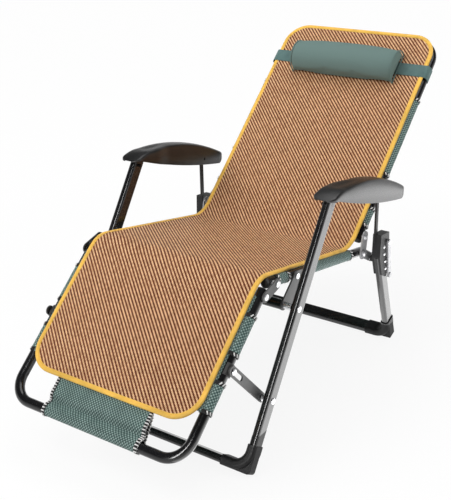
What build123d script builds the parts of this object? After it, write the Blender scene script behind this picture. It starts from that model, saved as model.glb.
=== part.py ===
from build123d import *
import math
import os

os.makedirs("parts", exist_ok=True)

# Lying surface, measured along the top of the mat, in mm and degrees
MAT_WIDTH = 520.0
MAT_THICK = 6.0
MAT_CORNER = 60.0
LEG_SECTION = 391.0
SEAT_SECTION = 494.0
BACK_SECTION = 748.0
LEG_SLOPE = 39.8
SEAT_SLOPE = 12.4
BACK_SLOPE = 41.5
KNEE_HEIGHT = 464.6
KNEE_FORWARD = 256.7

# Round tubes that carry the sling
TUBE_D = 26.0
TUBE_WALL = 1.5
FOOT_TRACK_WIDER = 13.0
SEAT_TRACK_NARROWER = 2.0
BACK_TRACK_NARROWER = 7.0
FOOT_BAR_REACH = 84.0
FOOT_BEND = 60.0
HEAD_BEND = 70.0
TUBE_STUB = 15.0

# Sling
SLING_THICK = 1.2
FOOT_WRAP_SHORTER = 117.0
HEAD_WRAP_SHORTER = 73.0
FOOT_SLEEVES = ((93.0, 203.0), (270.0, 351.0))
SEAT_SLEEVES = ((64.0, 122.0), (226.0, 480.0))
BACK_SLEEVES = ((78.0, 141.0), (251.0, 525.0))
SLING_END = 48.0

# Flat-oval leg tubes
LEG_DEPTH = 40.0
LEG_THICK = 20.0
LEG_WALL = 1.5
LEG_ROUND = 7.0
LEG_SPACE = 52.5
LEG_BEND = 42.0
FRONT_LEAN = 34.5
REAR_LEAN = 18.8
FRONT_FOOT = 412.0
REAR_FOOT = 413.0
REAR_LEG_TOP = 318.0

# Moulded corner shoes
SHOE_WALL = 3.0
SHOE_UP = 58.0
SHOE_IN = 70.0
SHOE_HEEL_ROUND = 9.0
SHOE_TREAD = 2.5

# Pivots, as distances along the sections or as heights
KNEE_PIN_AT = 40.0
KNEE_RIVET_AT = 40.0
HIP_PIN_AT = 50.0
HIP_RIVET_AT = 47.0
SEAT_PIVOT_AT = 100.0
SEAT_PIVOT_DROP = 87.0
LINK_PIN_AT = 236.0
LINK_ANCHOR_HEIGHT = 160.0
ARM_FRONT_HEIGHT = 578.0
ARM_REAR_Y = 292.0
ARM_REAR_RISE = 12.0
STAY_BOLT_Y = 312.0
STAY_BOLT_HEIGHT = 301.0

# Plates, links and fasteners
PLATE_THICK = 4.0
PLATE_ROUND = 14.0
HIP_PLATE_ROUND = 17.0
BOLT_D = 8.0
HEAD_D = 15.0
HEAD_THICK = 2.5
SPACER_D = 17.0
LINK_WIDTH = 25.0
LINK_SLOT = 13.0
LINK_SLOT_FROM = 138.0
LINK_SLOT_TO = 190.0
COLLAR_WALL = 3.2
COLLAR_LENGTH = 30.0
STAY_WIDTH = 26.0
STAY_SLOT = 9.2
STAY_MOUTH = 40.0
STAY_MOUTH_ANGLE = 55.2
STAY_MOUTH_FLARE = 10.0
KNOB_D = 24.0
KNOB_THICK = 11.0
CROSS_TUBE_D = 26.0
BRACKET_RAIL_FROM = 152.0
BRACKET_RAIL_TO = 202.0
BRACKET_LOBE_BACK = 92.0
BRACKET_LOBE_DROP = 6.0

# Armrests
ARM_OVERHANG = 21.0
ARM_NOSE_WIDTH = 64.0
ARM_REAR_WIDTH = 52.0
ARM_WALL = 3.5
ARM_NOSE = -50.0
ARM_TAIL = 402.0
ARM_ROOF_RISE = 33.5
ARM_TAIL_HEIGHT = 500.0
ARM_CREST_BACK = 78.0
ARM_CREST_FALL = 0.05
ARM_NOSE_DROP = 11.0
ARM_NOSE_SHOULDER = 26.0
ARM_NOSE_SHOULDER_DROP = 2.0
ARM_LIP_BACK = 30.0
ARM_LIP_DROP = 18.0
ARM_TAIL_ROUND = 26.0
ARM_TAIL_BULGE = 6.0
ARM_TAIL_BULGE_DROP = 18.0
ARM_BELLY_SAG = 10.0
ARM_NOSE_LENGTH = 90.0
ARM_FLARE_LENGTH = 80.0
ARM_PLAN_ROUND = 22.0
EAR_ROUND = 12.0
EAR_THICK = 8.0
EAR_BACK = 6.0
EAR_LAP = 1.0

# Lock and strut
STRUT_WIDTH = 12.0
STRUT_THICK = 6.0
STRUT_EYE = 10.0
STRUT_SEAT = 24.0
STRUT_INSET = 7.0
HOUSING_TOP = 386.0
HOUSING_BOTTOM = 244.0
HOUSING_DEPTH = 54.0
HOUSING_WALL = 3.0
HOUSING_LAP = 4.0
HOUSING_TOP_FALL = 7.0
HOUSING_TOE_RISE = 10.0
HOUSING_SHOULDER = 70.0
HOUSING_SHOULDER_LEAN = 3.0
LEVER_THICK = 6.0
LEVER_WIDTH = 16.0
LEVER_LENGTH = 112.0
LEVER_LEAN = 8.0
LEVER_PIN_DROP = 34.0
LEVER_PIN_BACK = 43.0
LEVER_TIP_EXTRA = 3.0

# Head pillow
PILLOW_AT = 622.0
PILLOW_LENGTH = 360.0
PILLOW_WIDTH = 132.0
PILLOW_CROWN = 62.0
PILLOW_END_SHARE = 0.88
STRAP_AT = 616.0
STRAP_WIDTH = 32.0
STRAP_THICK = 1.5
STRAP_ROUND = 14.0

# Clearances
SOFT_GAP = 0.3
FIT_GAP = 0.3
PIN_GAP = 0.25
SWING_GAP = 0.5
BEND_GAP = 0.3
KNEE_MAT_GAP = 46.0
HIP_MAT_GAP = 46.0
SEAT_MAT_GAP = 8.0

# Values that follow from the sizes above, with every width stepped outwards from the mat's
FOOT_TRACK = MAT_WIDTH + FOOT_TRACK_WIDER
SEAT_TRACK = MAT_WIDTH - SEAT_TRACK_NARROWER
BACK_TRACK = MAT_WIDTH - BACK_TRACK_NARROWER
LEG_OUTER = FOOT_TRACK + 2 * LEG_SPACE
ARM_OUTER = LEG_OUTER + 2 * ARM_OVERHANG
FOOT_WRAP_WIDTH = FOOT_TRACK - 2 * FOOT_BEND - FOOT_WRAP_SHORTER
HEAD_WRAP_WIDTH = BACK_TRACK - 2 * HEAD_BEND - HEAD_WRAP_SHORTER
ARM_TOP = ARM_FRONT_HEIGHT + ARM_ROOF_RISE
ARM_REAR_HEIGHT = ARM_TAIL_HEIGHT + ARM_REAR_RISE
TUBE_R = TUBE_D / 2
BOLT_R = BOLT_D / 2
SLEEVE_R = TUBE_R + FIT_GAP
SLING_DROP = MAT_THICK + SOFT_GAP
TUBE_DROP = SLING_DROP + SLING_THICK + FIT_GAP + TUBE_R
LEG_X = LEG_OUTER / 2 - LEG_THICK / 2
LEG_INNER_X = LEG_OUTER / 2 - LEG_THICK
FOOT_X = FOOT_TRACK / 2
SEAT_X = SEAT_TRACK / 2
BACK_X = BACK_TRACK / 2
FOOT_END = LEG_SECTION + FOOT_BAR_REACH
HEAD_BAR = BACK_SECTION - TUBE_R
HIP_PLATE_X = max(SEAT_X, BACK_X) + TUBE_R + SLING_THICK + 2 * FIT_GAP
STAY_X = HIP_PLATE_X + PLATE_THICK
KNEE_PLATE_X = max(SEAT_X, FOOT_X) + TUBE_R + FIT_GAP
BRACKET_X = SEAT_X + TUBE_R + FIT_GAP
LINK_X = FOOT_X + SLEEVE_R + COLLAR_WALL + 1.2
HOUSING_INNER_X = LEG_INNER_X - HOUSING_WALL
HOUSING_OUTER_X = LEG_OUTER / 2 + HOUSING_WALL
LEVER_X = HOUSING_OUTER_X + SWING_GAP


def section_plane(y, z, slope):
    """Plane of a section: X across, Y along it towards the head, Z out of its top."""
    tilt = math.radians(slope)
    return Plane(origin=(0, y, z), x_dir=(1, 0, 0), z_dir=(0, -math.sin(tilt), math.cos(tilt)))


def spot(plane, along, up):
    """Side-view point (y, z) of a place on a section."""
    point = plane.from_local_coords(Vector(0, along, up))
    return point.Y, point.Z


KNEE = (-KNEE_FORWARD, KNEE_HEIGHT)
leg_plane = section_plane(*KNEE, LEG_SLOPE)
seat_plane = section_plane(*KNEE, -SEAT_SLOPE)
HIP = spot(seat_plane, SEAT_SECTION, 0)
back_plane = section_plane(*HIP, BACK_SLOPE)

KNEE_PIN = spot(leg_plane, -KNEE_PIN_AT, -TUBE_DROP)
KNEE_RIVET = spot(seat_plane, KNEE_RIVET_AT, -TUBE_DROP)
HIP_PIN = spot(back_plane, HIP_PIN_AT, -TUBE_DROP)
HIP_RIVET = spot(seat_plane, SEAT_SECTION + HIP_RIVET_AT, -TUBE_DROP)
SEAT_PIVOT = spot(seat_plane, SEAT_PIVOT_AT, -SEAT_PIVOT_DROP)
LINK_PIN = spot(leg_plane, -LINK_PIN_AT, -TUBE_DROP)
STAY_BOLT = (STAY_BOLT_Y, STAY_BOLT_HEIGHT)
ARM_REAR = (ARM_REAR_Y, ARM_REAR_HEIGHT)


def on_front_leg(height):
    """Side-view point on the front legs' centre line."""
    return -FRONT_FOOT + height * math.tan(math.radians(FRONT_LEAN)), height


def on_rear_leg(height):
    """Side-view point on the rear legs' centre line."""
    return REAR_FOOT - height * math.tan(math.radians(REAR_LEAN)), height


ARM_FRONT = on_front_leg(ARM_FRONT_HEIGHT)
LINK_ANCHOR = on_front_leg(LINK_ANCHOR_HEIGHT)


def x_rod(radius, place, x_from, x_to):
    """Round bar across the chair at a side-view point."""
    y, z = place
    middle = (x_from + x_to) / 2
    return Pos(middle, y, z) * Rot(0, 90, 0) * Cylinder(radius, abs(x_to - x_from))


def side_prism(face, x_from, thickness):
    """Side-view face, drawn as (y, z), made into a plate from x_from outwards."""
    plane = Plane(origin=(x_from, 0, 0), x_dir=(0, 1, 0), z_dir=(1, 0, 0))
    return extrude(plane * face, amount=thickness)


def bar_face(start, end, radius):
    """Bar outline with round ends about two points."""
    length = math.dist(start, end)
    angle = math.degrees(math.atan2(end[1] - start[1], end[0] - start[0]))
    middle = Pos((start[0] + end[0]) / 2, (start[1] + end[1]) / 2)
    return middle * Rot(0, 0, angle) * SlotCenterToCenter(length, 2 * radius)


def along_tube(plane, x, start, end, outer, inner):
    """Straight round tube along a section."""
    length = end - start
    place = plane.location * Pos(x, (start + end) / 2, -TUBE_DROP) * Rot(90, 0, 0)
    return place * (Cylinder(outer, length) - Cylinder(inner, length))


def u_tube(plane, half_track, start, end, bend):
    """Round tube bent into a U: two sides along a section and one bar across it."""
    level = plane.offset(-TUBE_DROP)
    corners = ((-half_track, start), (-half_track, end), (half_track, end), (half_track, start))
    path = level * FilletPolyline(*corners, radius=bend)
    ring = Circle(TUBE_R) - Circle(TUBE_R - TUBE_WALL)
    return sweep(Plane(origin=path @ 0, z_dir=path % 0) * ring, path=path)


def both_sides(shape):
    """A group of the shape and its mirror image."""
    return [shape, mirror(shape, about=Plane.YZ)]


def rod_pair(shape, place):
    """A round fastener on the left and its twin on the right, turned about the chair's middle."""
    turn = Pos(0, place[0], 0) * Rot(0, 0, 180) * Pos(0, -place[0], 0)
    return [shape, turn * shape]


nodes = {}


def add(name, shape):
    nodes[name] = shape


def add_pair(name, shape):
    add(name + "_left", shape)
    add(name + "_right", mirror(shape, about=Plane.YZ))


def add_group(name, shapes):
    solids = []
    for shape in shapes:
        solids.extend(shape.solids())
    add(name, Compound(solids))


# Leg frames: each is a floor bar with bent corners and two straight legs


def leg_section(grow):
    """Flat-oval outline of a leg tube, grown by a wall or a clearance."""
    return RectangleRounded(LEG_THICK + 2 * grow, LEG_DEPTH + 2 * grow, LEG_ROUND + grow)


def frame_height(lean):
    """Height of a floor bar's centre line, with its shoes' tread on the floor."""
    tilt = math.radians(lean)
    grow = SHOE_WALL + FIT_GAP
    corner = LEG_ROUND + grow
    up = (LEG_THICK / 2 + grow - corner) * math.cos(tilt)
    out = (LEG_DEPTH / 2 + grow - corner) * math.sin(tilt)
    return up + out + corner - SHOE_TREAD


FLOOR_CUT = Pos(0, 0, -LEG_DEPTH) * Box(2 * ARM_OUTER, 4 * BACK_SECTION, 2 * LEG_DEPTH)


def floor_bar(plane):
    """Bar across the floor with both its bends."""
    top = LEG_BEND + FIT_GAP
    corners = ((-LEG_X, top), (-LEG_X, 0), (LEG_X, 0), (LEG_X, top))
    path = plane * FilletPolyline(*corners, radius=LEG_BEND)
    start = Plane(origin=path @ 0, x_dir=(1, 0, 0), z_dir=path % 0)
    return sweep(start * (leg_section(0) - leg_section(-LEG_WALL)), path=path)


def corner_shoe(plane):
    """Moulded shoe round one bend, with a square heel outside it, cut flat where it stands."""
    corners = ((LEG_X, SHOE_UP), (LEG_X, 0), (LEG_X - SHOE_IN, 0))
    path = plane * FilletPolyline(*corners, radius=LEG_BEND)
    start = Plane(origin=path @ 0, x_dir=(1, 0, 0), z_dir=path % 0)
    grow = FIT_GAP + SHOE_WALL
    skin = leg_section(grow) - leg_section(FIT_GAP)
    reach = LEG_BEND + LEG_THICK / 2 + grow
    heel_face = Rectangle(reach, reach, align=(Align.MIN, Align.MAX))
    heel_corner = heel_face.vertices().sort_by(Axis.X)[-2:].sort_by(Axis.Y)[:1]
    heel_face = fillet(heel_corner, SHOE_HEEL_ROUND) - Circle(reach - SHOE_WALL)
    heel_plane = plane.offset(-LEG_DEPTH / 2 + LEG_ROUND)
    heel_place = heel_plane * Pos(LEG_X - LEG_BEND, LEG_BEND) * heel_face
    heel = extrude(heel_place, amount=LEG_DEPTH - 2 * LEG_ROUND)
    return sweep(start * skin, path=path) + heel - FLOOR_CUT


def leg_tube(plane, top):
    """Straight leg from its bend up to a height along the frame."""
    bottom = LEG_BEND + FIT_GAP
    face = leg_section(0) - leg_section(-LEG_WALL)
    start = Plane(
        origin=plane.from_local_coords(Vector(LEG_X, bottom, 0)),
        x_dir=(1, 0, 0),
        z_dir=plane.y_dir,
    )
    return extrude(start * face, amount=top - bottom)


front_z = frame_height(FRONT_LEAN)
front_plane = section_plane(*on_front_leg(front_z), 90 - FRONT_LEAN)
front_top = (ARM_FRONT_HEIGHT - front_z) / math.cos(math.radians(FRONT_LEAN))
front_leg = leg_tube(front_plane, front_top + LEG_DEPTH / 2)
front_reach = bar_face(on_front_leg(0), ARM_FRONT, LEG_DEPTH / 2)
front_leg = front_leg & side_prism(front_reach, 0, LEG_OUTER)
for place in (ARM_FRONT, SEAT_PIVOT, LINK_ANCHOR):
    front_leg -= x_rod(BOLT_R + PIN_GAP, place, LEG_INNER_X - 1, LEG_OUTER / 2 + 1)
add_pair("front_leg", front_leg)
add("front_floor_bar", floor_bar(front_plane))
add_pair("front_shoe", corner_shoe(front_plane))

rear_z = frame_height(REAR_LEAN)
rear_plane = section_plane(*on_rear_leg(rear_z), 90 + REAR_LEAN)
rear_top = (REAR_LEG_TOP - rear_z) / math.cos(math.radians(REAR_LEAN))
add_pair("rear_leg", leg_tube(rear_plane, rear_top))
add("rear_floor_bar", floor_bar(rear_plane))
add_pair("rear_shoe", corner_shoe(rear_plane))

# Lock housings on the rear legs' tops, with struts, knobs and levers
rear_half = LEG_DEPTH / 2 / math.cos(math.radians(REAR_LEAN)) + HOUSING_WALL
front_line = ARM_REAR_Y - HOUSING_LAP
housing_back = on_rear_leg(HOUSING_BOTTOM)[0] + rear_half
housing_face = make_face(
    Polyline(
        (front_line, HOUSING_TOP),
        (front_line + HOUSING_DEPTH, HOUSING_TOP - HOUSING_TOP_FALL),
        (housing_back, HOUSING_BOTTOM),
        (on_rear_leg(HOUSING_BOTTOM)[0] - rear_half, HOUSING_BOTTOM + HOUSING_TOE_RISE),
        (front_line - HOUSING_SHOULDER_LEAN, HOUSING_TOP - HOUSING_SHOULDER),
        close=True,
    )
)
housing_width = HOUSING_OUTER_X - HOUSING_INNER_X
leg_socket = extrude(
    Plane(
        origin=rear_plane.from_local_coords(Vector(LEG_X, 0, 0)),
        x_dir=(1, 0, 0),
        z_dir=rear_plane.y_dir,
    )
    * leg_section(FIT_GAP),
    amount=rear_top,
)
strut_x = LEG_X - STRUT_INSET
strut_foot = (ARM_REAR_Y, HOUSING_TOP - STRUT_SEAT)
strut_face = bar_face(ARM_REAR, strut_foot, STRUT_WIDTH / 2)
strut_eye = Pos(*ARM_REAR) * Circle(STRUT_EYE)
strut = side_prism(strut_face + strut_eye, strut_x - STRUT_THICK / 2, STRUT_THICK)
strut -= x_rod(BOLT_R + PIN_GAP, ARM_REAR, strut_x - STRUT_THICK, strut_x + STRUT_THICK)
strut_pocket_face = bar_face(ARM_REAR, strut_foot, STRUT_WIDTH / 2 + FIT_GAP)
strut_pocket = side_prism(
    strut_pocket_face,
    strut_x - STRUT_THICK / 2 - FIT_GAP,
    STRUT_THICK + 2 * FIT_GAP,
)
housing = side_prism(housing_face, HOUSING_INNER_X, housing_width) - leg_socket - strut_pocket
add_pair("lock_housing", housing)
add_pair("rear_strut", strut)

knob = x_rod(KNOB_D / 2, STAY_BOLT, HOUSING_INNER_X - KNOB_THICK, HOUSING_INNER_X)
knob += x_rod(BOLT_R, STAY_BOLT, HIP_PLATE_X + PLATE_THICK / 2, HOUSING_INNER_X)
add_pair("lock_knob", knob)

LEVER_PIN = (front_line + LEVER_PIN_BACK, HOUSING_TOP - LEVER_PIN_DROP)
lever_tilt = math.radians(LEVER_LEAN)
lever_tip = (
    LEVER_PIN[0] + LEVER_LENGTH * math.sin(lever_tilt),
    LEVER_PIN[1] - LEVER_LENGTH * math.cos(lever_tilt),
)
lever = side_prism(bar_face(LEVER_PIN, lever_tip, LEVER_WIDTH / 2), LEVER_X, LEVER_THICK)
lever += side_prism(Pos(*lever_tip) * Circle(LEVER_WIDTH / 2), LEVER_X, LEVER_THICK + LEVER_TIP_EXTRA)
lever -= x_rod(BOLT_R + PIN_GAP, LEVER_PIN, LEVER_X - 1, LEVER_X + LEVER_THICK + 1)
add_pair("lock_lever", lever)
lever_head = LEVER_X + LEVER_THICK + FIT_GAP
lever_pin = x_rod(BOLT_R, LEVER_PIN, HOUSING_OUTER_X, lever_head)
lever_pin += x_rod(HEAD_D / 2, LEVER_PIN, lever_head, lever_head + HEAD_THICK)
add_group("lever_pins", rod_pair(lever_pin, LEVER_PIN))

# Armrests: moulded shells, open below, over the leg tops and struts
arm_out_x = ARM_OUTER / 2
arm_x = arm_out_x - ARM_NOSE_WIDTH
arm_rear_x = arm_out_x - ARM_REAR_WIDTH
arm_crest = (ARM_NOSE + ARM_CREST_BACK, ARM_TOP)
arm_tail = (ARM_TAIL, ARM_TAIL_HEIGHT)
arm_low = (ARM_TAIL - ARM_TAIL_ROUND, ARM_TAIL_HEIGHT - ARM_TAIL_ROUND)
arm_front_low = (ARM_NOSE + ARM_LIP_BACK, ARM_TOP - ARM_LIP_DROP)
arm_front_high = (ARM_NOSE, ARM_TOP - ARM_NOSE_DROP)
arm_shoulder = (ARM_NOSE + ARM_NOSE_SHOULDER, ARM_TOP - ARM_NOSE_SHOULDER_DROP)
arm_bulge = (ARM_TAIL - ARM_TAIL_BULGE, ARM_TAIL_HEIGHT - ARM_TAIL_BULGE_DROP)
arm_belly = (
    (arm_low[0] + arm_front_low[0]) / 2,
    (arm_low[1] + arm_front_low[1]) / 2 - ARM_BELLY_SAG,
)
arm_outline = (
    ThreePointArc(arm_front_high, arm_shoulder, arm_crest)
    + TangentArc(arm_crest, arm_tail, tangent=(1, -ARM_CREST_FALL))
    + ThreePointArc(arm_tail, arm_bulge, arm_low)
    + ThreePointArc(arm_low, arm_belly, arm_front_low)
    + Line(arm_front_low, arm_front_high)
)
arm_face = make_face(arm_outline)
arm_plan = make_face(
    Polyline(
        (arm_x, ARM_NOSE - 1),
        (arm_out_x, ARM_NOSE - 1),
        (arm_out_x, ARM_TAIL + 1),
        (arm_rear_x, ARM_TAIL + 1),
        (arm_rear_x, ARM_NOSE + ARM_NOSE_LENGTH + ARM_FLARE_LENGTH),
        (arm_x, ARM_NOSE + ARM_NOSE_LENGTH),
        close=True,
    )
)
nose_corners = arm_plan.vertices().sort_by(Axis.Y)[:2]
tail_corners = arm_plan.vertices().sort_by(Axis.Y)[-2:]
arm_plan = fillet(nose_corners + tail_corners, ARM_PLAN_ROUND)
arm_shell = side_prism(arm_face, arm_x, ARM_NOSE_WIDTH) & extrude(arm_plan, amount=ARM_TOP * 2)
hollow_side = side_prism(Pos(0, -ARM_WALL) * arm_face, arm_x, ARM_NOSE_WIDTH)
hollow_below = side_prism(Pos(0, -ARM_WALL * 6) * arm_face, arm_x, ARM_NOSE_WIDTH)
hollow_plan = extrude(offset(arm_plan, -ARM_WALL), amount=ARM_TOP * 2)
armrest = arm_shell - ((hollow_side + hollow_below) & hollow_plan)
ear_top = (ARM_FRONT[0] + EAR_BACK, ARM_TOP - ARM_WALL - EAR_ROUND + EAR_LAP)
ear_x = LEG_INNER_X - SWING_GAP - EAR_THICK
armrest += side_prism(bar_face(ARM_FRONT, ear_top, EAR_ROUND), ear_x, EAR_THICK)
armrest -= x_rod(BOLT_R, ARM_FRONT, ear_x - 1, ear_x + EAR_THICK + 1)
armrest -= x_rod(BOLT_R, ARM_REAR, arm_rear_x - 1, arm_out_x + 1)
add_pair("armrest", armrest)
arm_front_bolt = x_rod(BOLT_R, ARM_FRONT, ear_x, LEG_OUTER / 2)
add_group("arm_front_bolts", rod_pair(arm_front_bolt, ARM_FRONT))
arm_rear_bolt = x_rod(BOLT_R, ARM_REAR, arm_rear_x, arm_out_x)
add_group("arm_rear_bolts", rod_pair(arm_rear_bolt, ARM_REAR))

# Seat: rails, cross tube, brackets, hinge plates and stays
rail_front = KNEE_RIVET_AT - TUBE_STUB
rail_back = SEAT_SECTION + HIP_RIVET_AT + TUBE_STUB
rail = along_tube(seat_plane, SEAT_X, rail_front, rail_back, TUBE_R, TUBE_R - TUBE_WALL)
bracket_bolts = [spot(seat_plane, at, -TUBE_DROP) for at in (BRACKET_RAIL_FROM, BRACKET_RAIL_TO)]
for place in [KNEE_RIVET, HIP_RIVET] + bracket_bolts:
    rail -= x_rod(BOLT_R, place, SEAT_X - TUBE_D, SEAT_X + TUBE_D)
add_pair("seat_rail", rail)

cross_end = BRACKET_X
cross = x_rod(CROSS_TUBE_D / 2, SEAT_PIVOT, -cross_end, cross_end)
cross -= x_rod(CROSS_TUBE_D / 2 - TUBE_WALL, SEAT_PIVOT, -cross_end, cross_end)
add("seat_cross_tube", cross)

lobe = (SEAT_PIVOT[0] + BRACKET_LOBE_BACK, SEAT_PIVOT[1] - BRACKET_LOBE_DROP)
bracket_core = make_face(Polyline(*bracket_bolts, lobe, SEAT_PIVOT, close=True))
bracket_face = offset(bracket_core, PLATE_ROUND, kind=Kind.ARC)
bracket = side_prism(bracket_face, BRACKET_X, PLATE_THICK)
for place in bracket_bolts:
    bracket -= x_rod(BOLT_R, place, BRACKET_X - 1, BRACKET_X + PLATE_THICK + 1)
bracket -= x_rod(BOLT_R + PIN_GAP, SEAT_PIVOT, BRACKET_X - 1, BRACKET_X + PLATE_THICK + 1)
add_pair("seat_bracket", bracket)

hip_plate = side_prism(bar_face(HIP_PIN, HIP_RIVET, HIP_PLATE_ROUND), HIP_PLATE_X, PLATE_THICK)
for place in (HIP_PIN, HIP_RIVET):
    hip_plate -= x_rod(BOLT_R, place, HIP_PLATE_X - 1, HIP_PLATE_X + PLATE_THICK + 1)
add_pair("hip_plate", hip_plate)

knee_plate = side_prism(bar_face(KNEE_PIN, KNEE_RIVET, PLATE_ROUND), KNEE_PLATE_X, PLATE_THICK)
for place in (KNEE_PIN, KNEE_RIVET):
    knee_plate -= x_rod(BOLT_R, place, KNEE_PLATE_X - 1, KNEE_PLATE_X + PLATE_THICK + 1)
add_pair("knee_plate", knee_plate)

stay_face = bar_face(HIP_RIVET, STAY_BOLT, STAY_WIDTH / 2)
mouth_turn = math.radians(STAY_MOUTH_ANGLE)
mouth = (
    STAY_BOLT[0] - STAY_MOUTH * math.cos(mouth_turn),
    STAY_BOLT[1] - STAY_MOUTH * math.sin(mouth_turn),
)
stay_slot = bar_face(STAY_BOLT, mouth, STAY_SLOT / 2)
flare = (mouth[0] - STAY_MOUTH_FLARE, mouth[1])
stay_slot += bar_face(STAY_BOLT, flare, STAY_SLOT / 2)
stay = side_prism(stay_face - stay_slot, STAY_X, PLATE_THICK)
stay -= x_rod(BOLT_R, HIP_RIVET, STAY_X - 1, STAY_X + PLATE_THICK + 1)
add_pair("rear_stay", stay)


def rivet(place, x_from, head_from, spacer_from=None, spacer_to=None):
    """Rivet with its head outside and an optional spacer on its shank."""
    shape = x_rod(BOLT_R, place, x_from, head_from)
    shape += x_rod(HEAD_D / 2, place, head_from, head_from + HEAD_THICK)
    if spacer_from is not None:
        shape += x_rod(SPACER_D / 2, place, spacer_from, spacer_to)
    return shape


seat_side = SEAT_X + TUBE_R + FIT_GAP
knee_rivet = rivet(KNEE_RIVET, SEAT_X - TUBE_R, KNEE_PLATE_X + PLATE_THICK, seat_side, KNEE_PLATE_X)
hip_rivet = rivet(HIP_RIVET, SEAT_X - TUBE_R, STAY_X + PLATE_THICK)
fixed_rivets = rod_pair(knee_rivet, KNEE_RIVET) + rod_pair(hip_rivet, HIP_RIVET)
for place in bracket_bolts:
    fixed_rivets += rod_pair(rivet(place, SEAT_X - TUBE_R, BRACKET_X + PLATE_THICK), place)
add_group("seat_rivets", fixed_rivets)

hip_pin = rivet(
    HIP_PIN,
    BACK_X - TUBE_R,
    HIP_PLATE_X + PLATE_THICK,
    BACK_X + TUBE_R + FIT_GAP,
    HIP_PLATE_X,
)
add_group("hip_pins", rod_pair(hip_pin, HIP_PIN))
knee_pin = rivet(KNEE_PIN, FOOT_X - TUBE_R, KNEE_PLATE_X + PLATE_THICK)
add_group("knee_pins", rod_pair(knee_pin, KNEE_PIN))

seat_bolt = x_rod(BOLT_R, SEAT_PIVOT, BRACKET_X - TUBE_R, LEG_OUTER / 2)
seat_bolt += x_rod(HEAD_D / 2, SEAT_PIVOT, LEG_OUTER / 2, LEG_OUTER / 2 + HEAD_THICK)
spacer_start = BRACKET_X + PLATE_THICK + FIT_GAP
seat_bolt += x_rod(SPACER_D / 2, SEAT_PIVOT, spacer_start, LEG_INNER_X)
add_group("seat_bolts", rod_pair(seat_bolt, SEAT_PIVOT))

link_bolt = x_rod(BOLT_R, LINK_ANCHOR, LINK_X - FIT_GAP, LEG_OUTER / 2)
link_bolt += x_rod(HEAD_D / 2, LINK_ANCHOR, LEG_OUTER / 2, LEG_OUTER / 2 + HEAD_THICK)
link_bolt += x_rod(HEAD_D / 2, LINK_ANCHOR, LINK_X - FIT_GAP - HEAD_THICK, LINK_X - FIT_GAP)
link_bolt += x_rod(SPACER_D / 2, LINK_ANCHOR, LINK_X + PLATE_THICK + FIT_GAP, LEG_INNER_X)
add_group("link_bolts", rod_pair(link_bolt, LINK_ANCHOR))

# Footrest frame with its link collars, and the slotted links
foot_frame = u_tube(leg_plane, FOOT_X, -(KNEE_PIN_AT - TUBE_STUB), -FOOT_END, FOOT_BEND)
for side in (-1, 1):
    edge_from = side * (FOOT_X - TUBE_D)
    edge_to = side * (FOOT_X + TUBE_D)
    foot_frame -= x_rod(BOLT_R + PIN_GAP, KNEE_PIN, edge_from, edge_to)
add("footrest_frame", foot_frame)

collar_from = -LINK_PIN_AT - COLLAR_LENGTH / 2
collar = along_tube(
    leg_plane, FOOT_X, collar_from, collar_from + COLLAR_LENGTH, SLEEVE_R + COLLAR_WALL, SLEEVE_R
)
collar_room = SLING_DROP + SLING_THICK + FIT_GAP
collar -= leg_plane.location * Pos(FOOT_X, -LINK_PIN_AT, TUBE_D - collar_room) * Box(
    2 * TUBE_D, 2 * COLLAR_LENGTH, 2 * TUBE_D
)
collar_out = FOOT_X + SLEEVE_R + COLLAR_WALL
link_head = LINK_X + PLATE_THICK + SWING_GAP
collar += x_rod(BOLT_R, LINK_PIN, collar_out - COLLAR_WALL / 2, link_head)
collar += x_rod(HEAD_D / 2, LINK_PIN, link_head, link_head + HEAD_THICK)
add_pair("link_collar", collar)


def toward(start, end, distance):
    """Point at a distance from start on the way to end."""
    share = distance / math.dist(start, end)
    return start[0] + share * (end[0] - start[0]), start[1] + share * (end[1] - start[1])


link_face = bar_face(LINK_ANCHOR, toward(LINK_ANCHOR, LINK_PIN, LINK_SLOT_TO), LINK_WIDTH / 2)
link_face -= bar_face(
    toward(LINK_ANCHOR, LINK_PIN, LINK_SLOT_FROM),
    toward(LINK_ANCHOR, LINK_PIN, LINK_SLOT_TO),
    LINK_SLOT / 2,
)
foot_link = side_prism(link_face, LINK_X, PLATE_THICK)
foot_link -= x_rod(BOLT_R + PIN_GAP, LINK_ANCHOR, LINK_X - 1, LINK_X + PLATE_THICK + 1)
add_pair("foot_link", foot_link)

# Back frame
back_frame = u_tube(back_plane, BACK_X, HIP_PIN_AT - TUBE_STUB, HEAD_BAR, HEAD_BEND)
for side in (-1, 1):
    edge_from = side * (BACK_X - TUBE_D)
    edge_to = side * (BACK_X + TUBE_D)
    back_frame -= x_rod(BOLT_R + PIN_GAP, HIP_PIN, edge_from, edge_to)
add("back_frame", back_frame)


# Sling panels: a sheet over the tubes, sleeves round them and a wrap round the end bar
def sling_sheet(plane, half_width, start, end):
    place = Pos(0, (start + end) / 2, -SLING_DROP - SLING_THICK / 2)
    return plane.location * place * Box(2 * half_width, end - start, SLING_THICK)


def bar_wrap(plane, at, width):
    ring = Cylinder(SLEEVE_R + SLING_THICK, width) - Cylinder(SLEEVE_R, width)
    return plane.location * Pos(0, at, -TUBE_DROP) * Rot(0, 90, 0) * ring


def sleeves(plane, half_track, ranges):
    outer = SLEEVE_R + SLING_THICK
    rings = [along_tube(plane, half_track, start, end, outer, SLEEVE_R) for start, end in ranges]
    return [copy for ring in rings for copy in both_sides(ring)]


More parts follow.
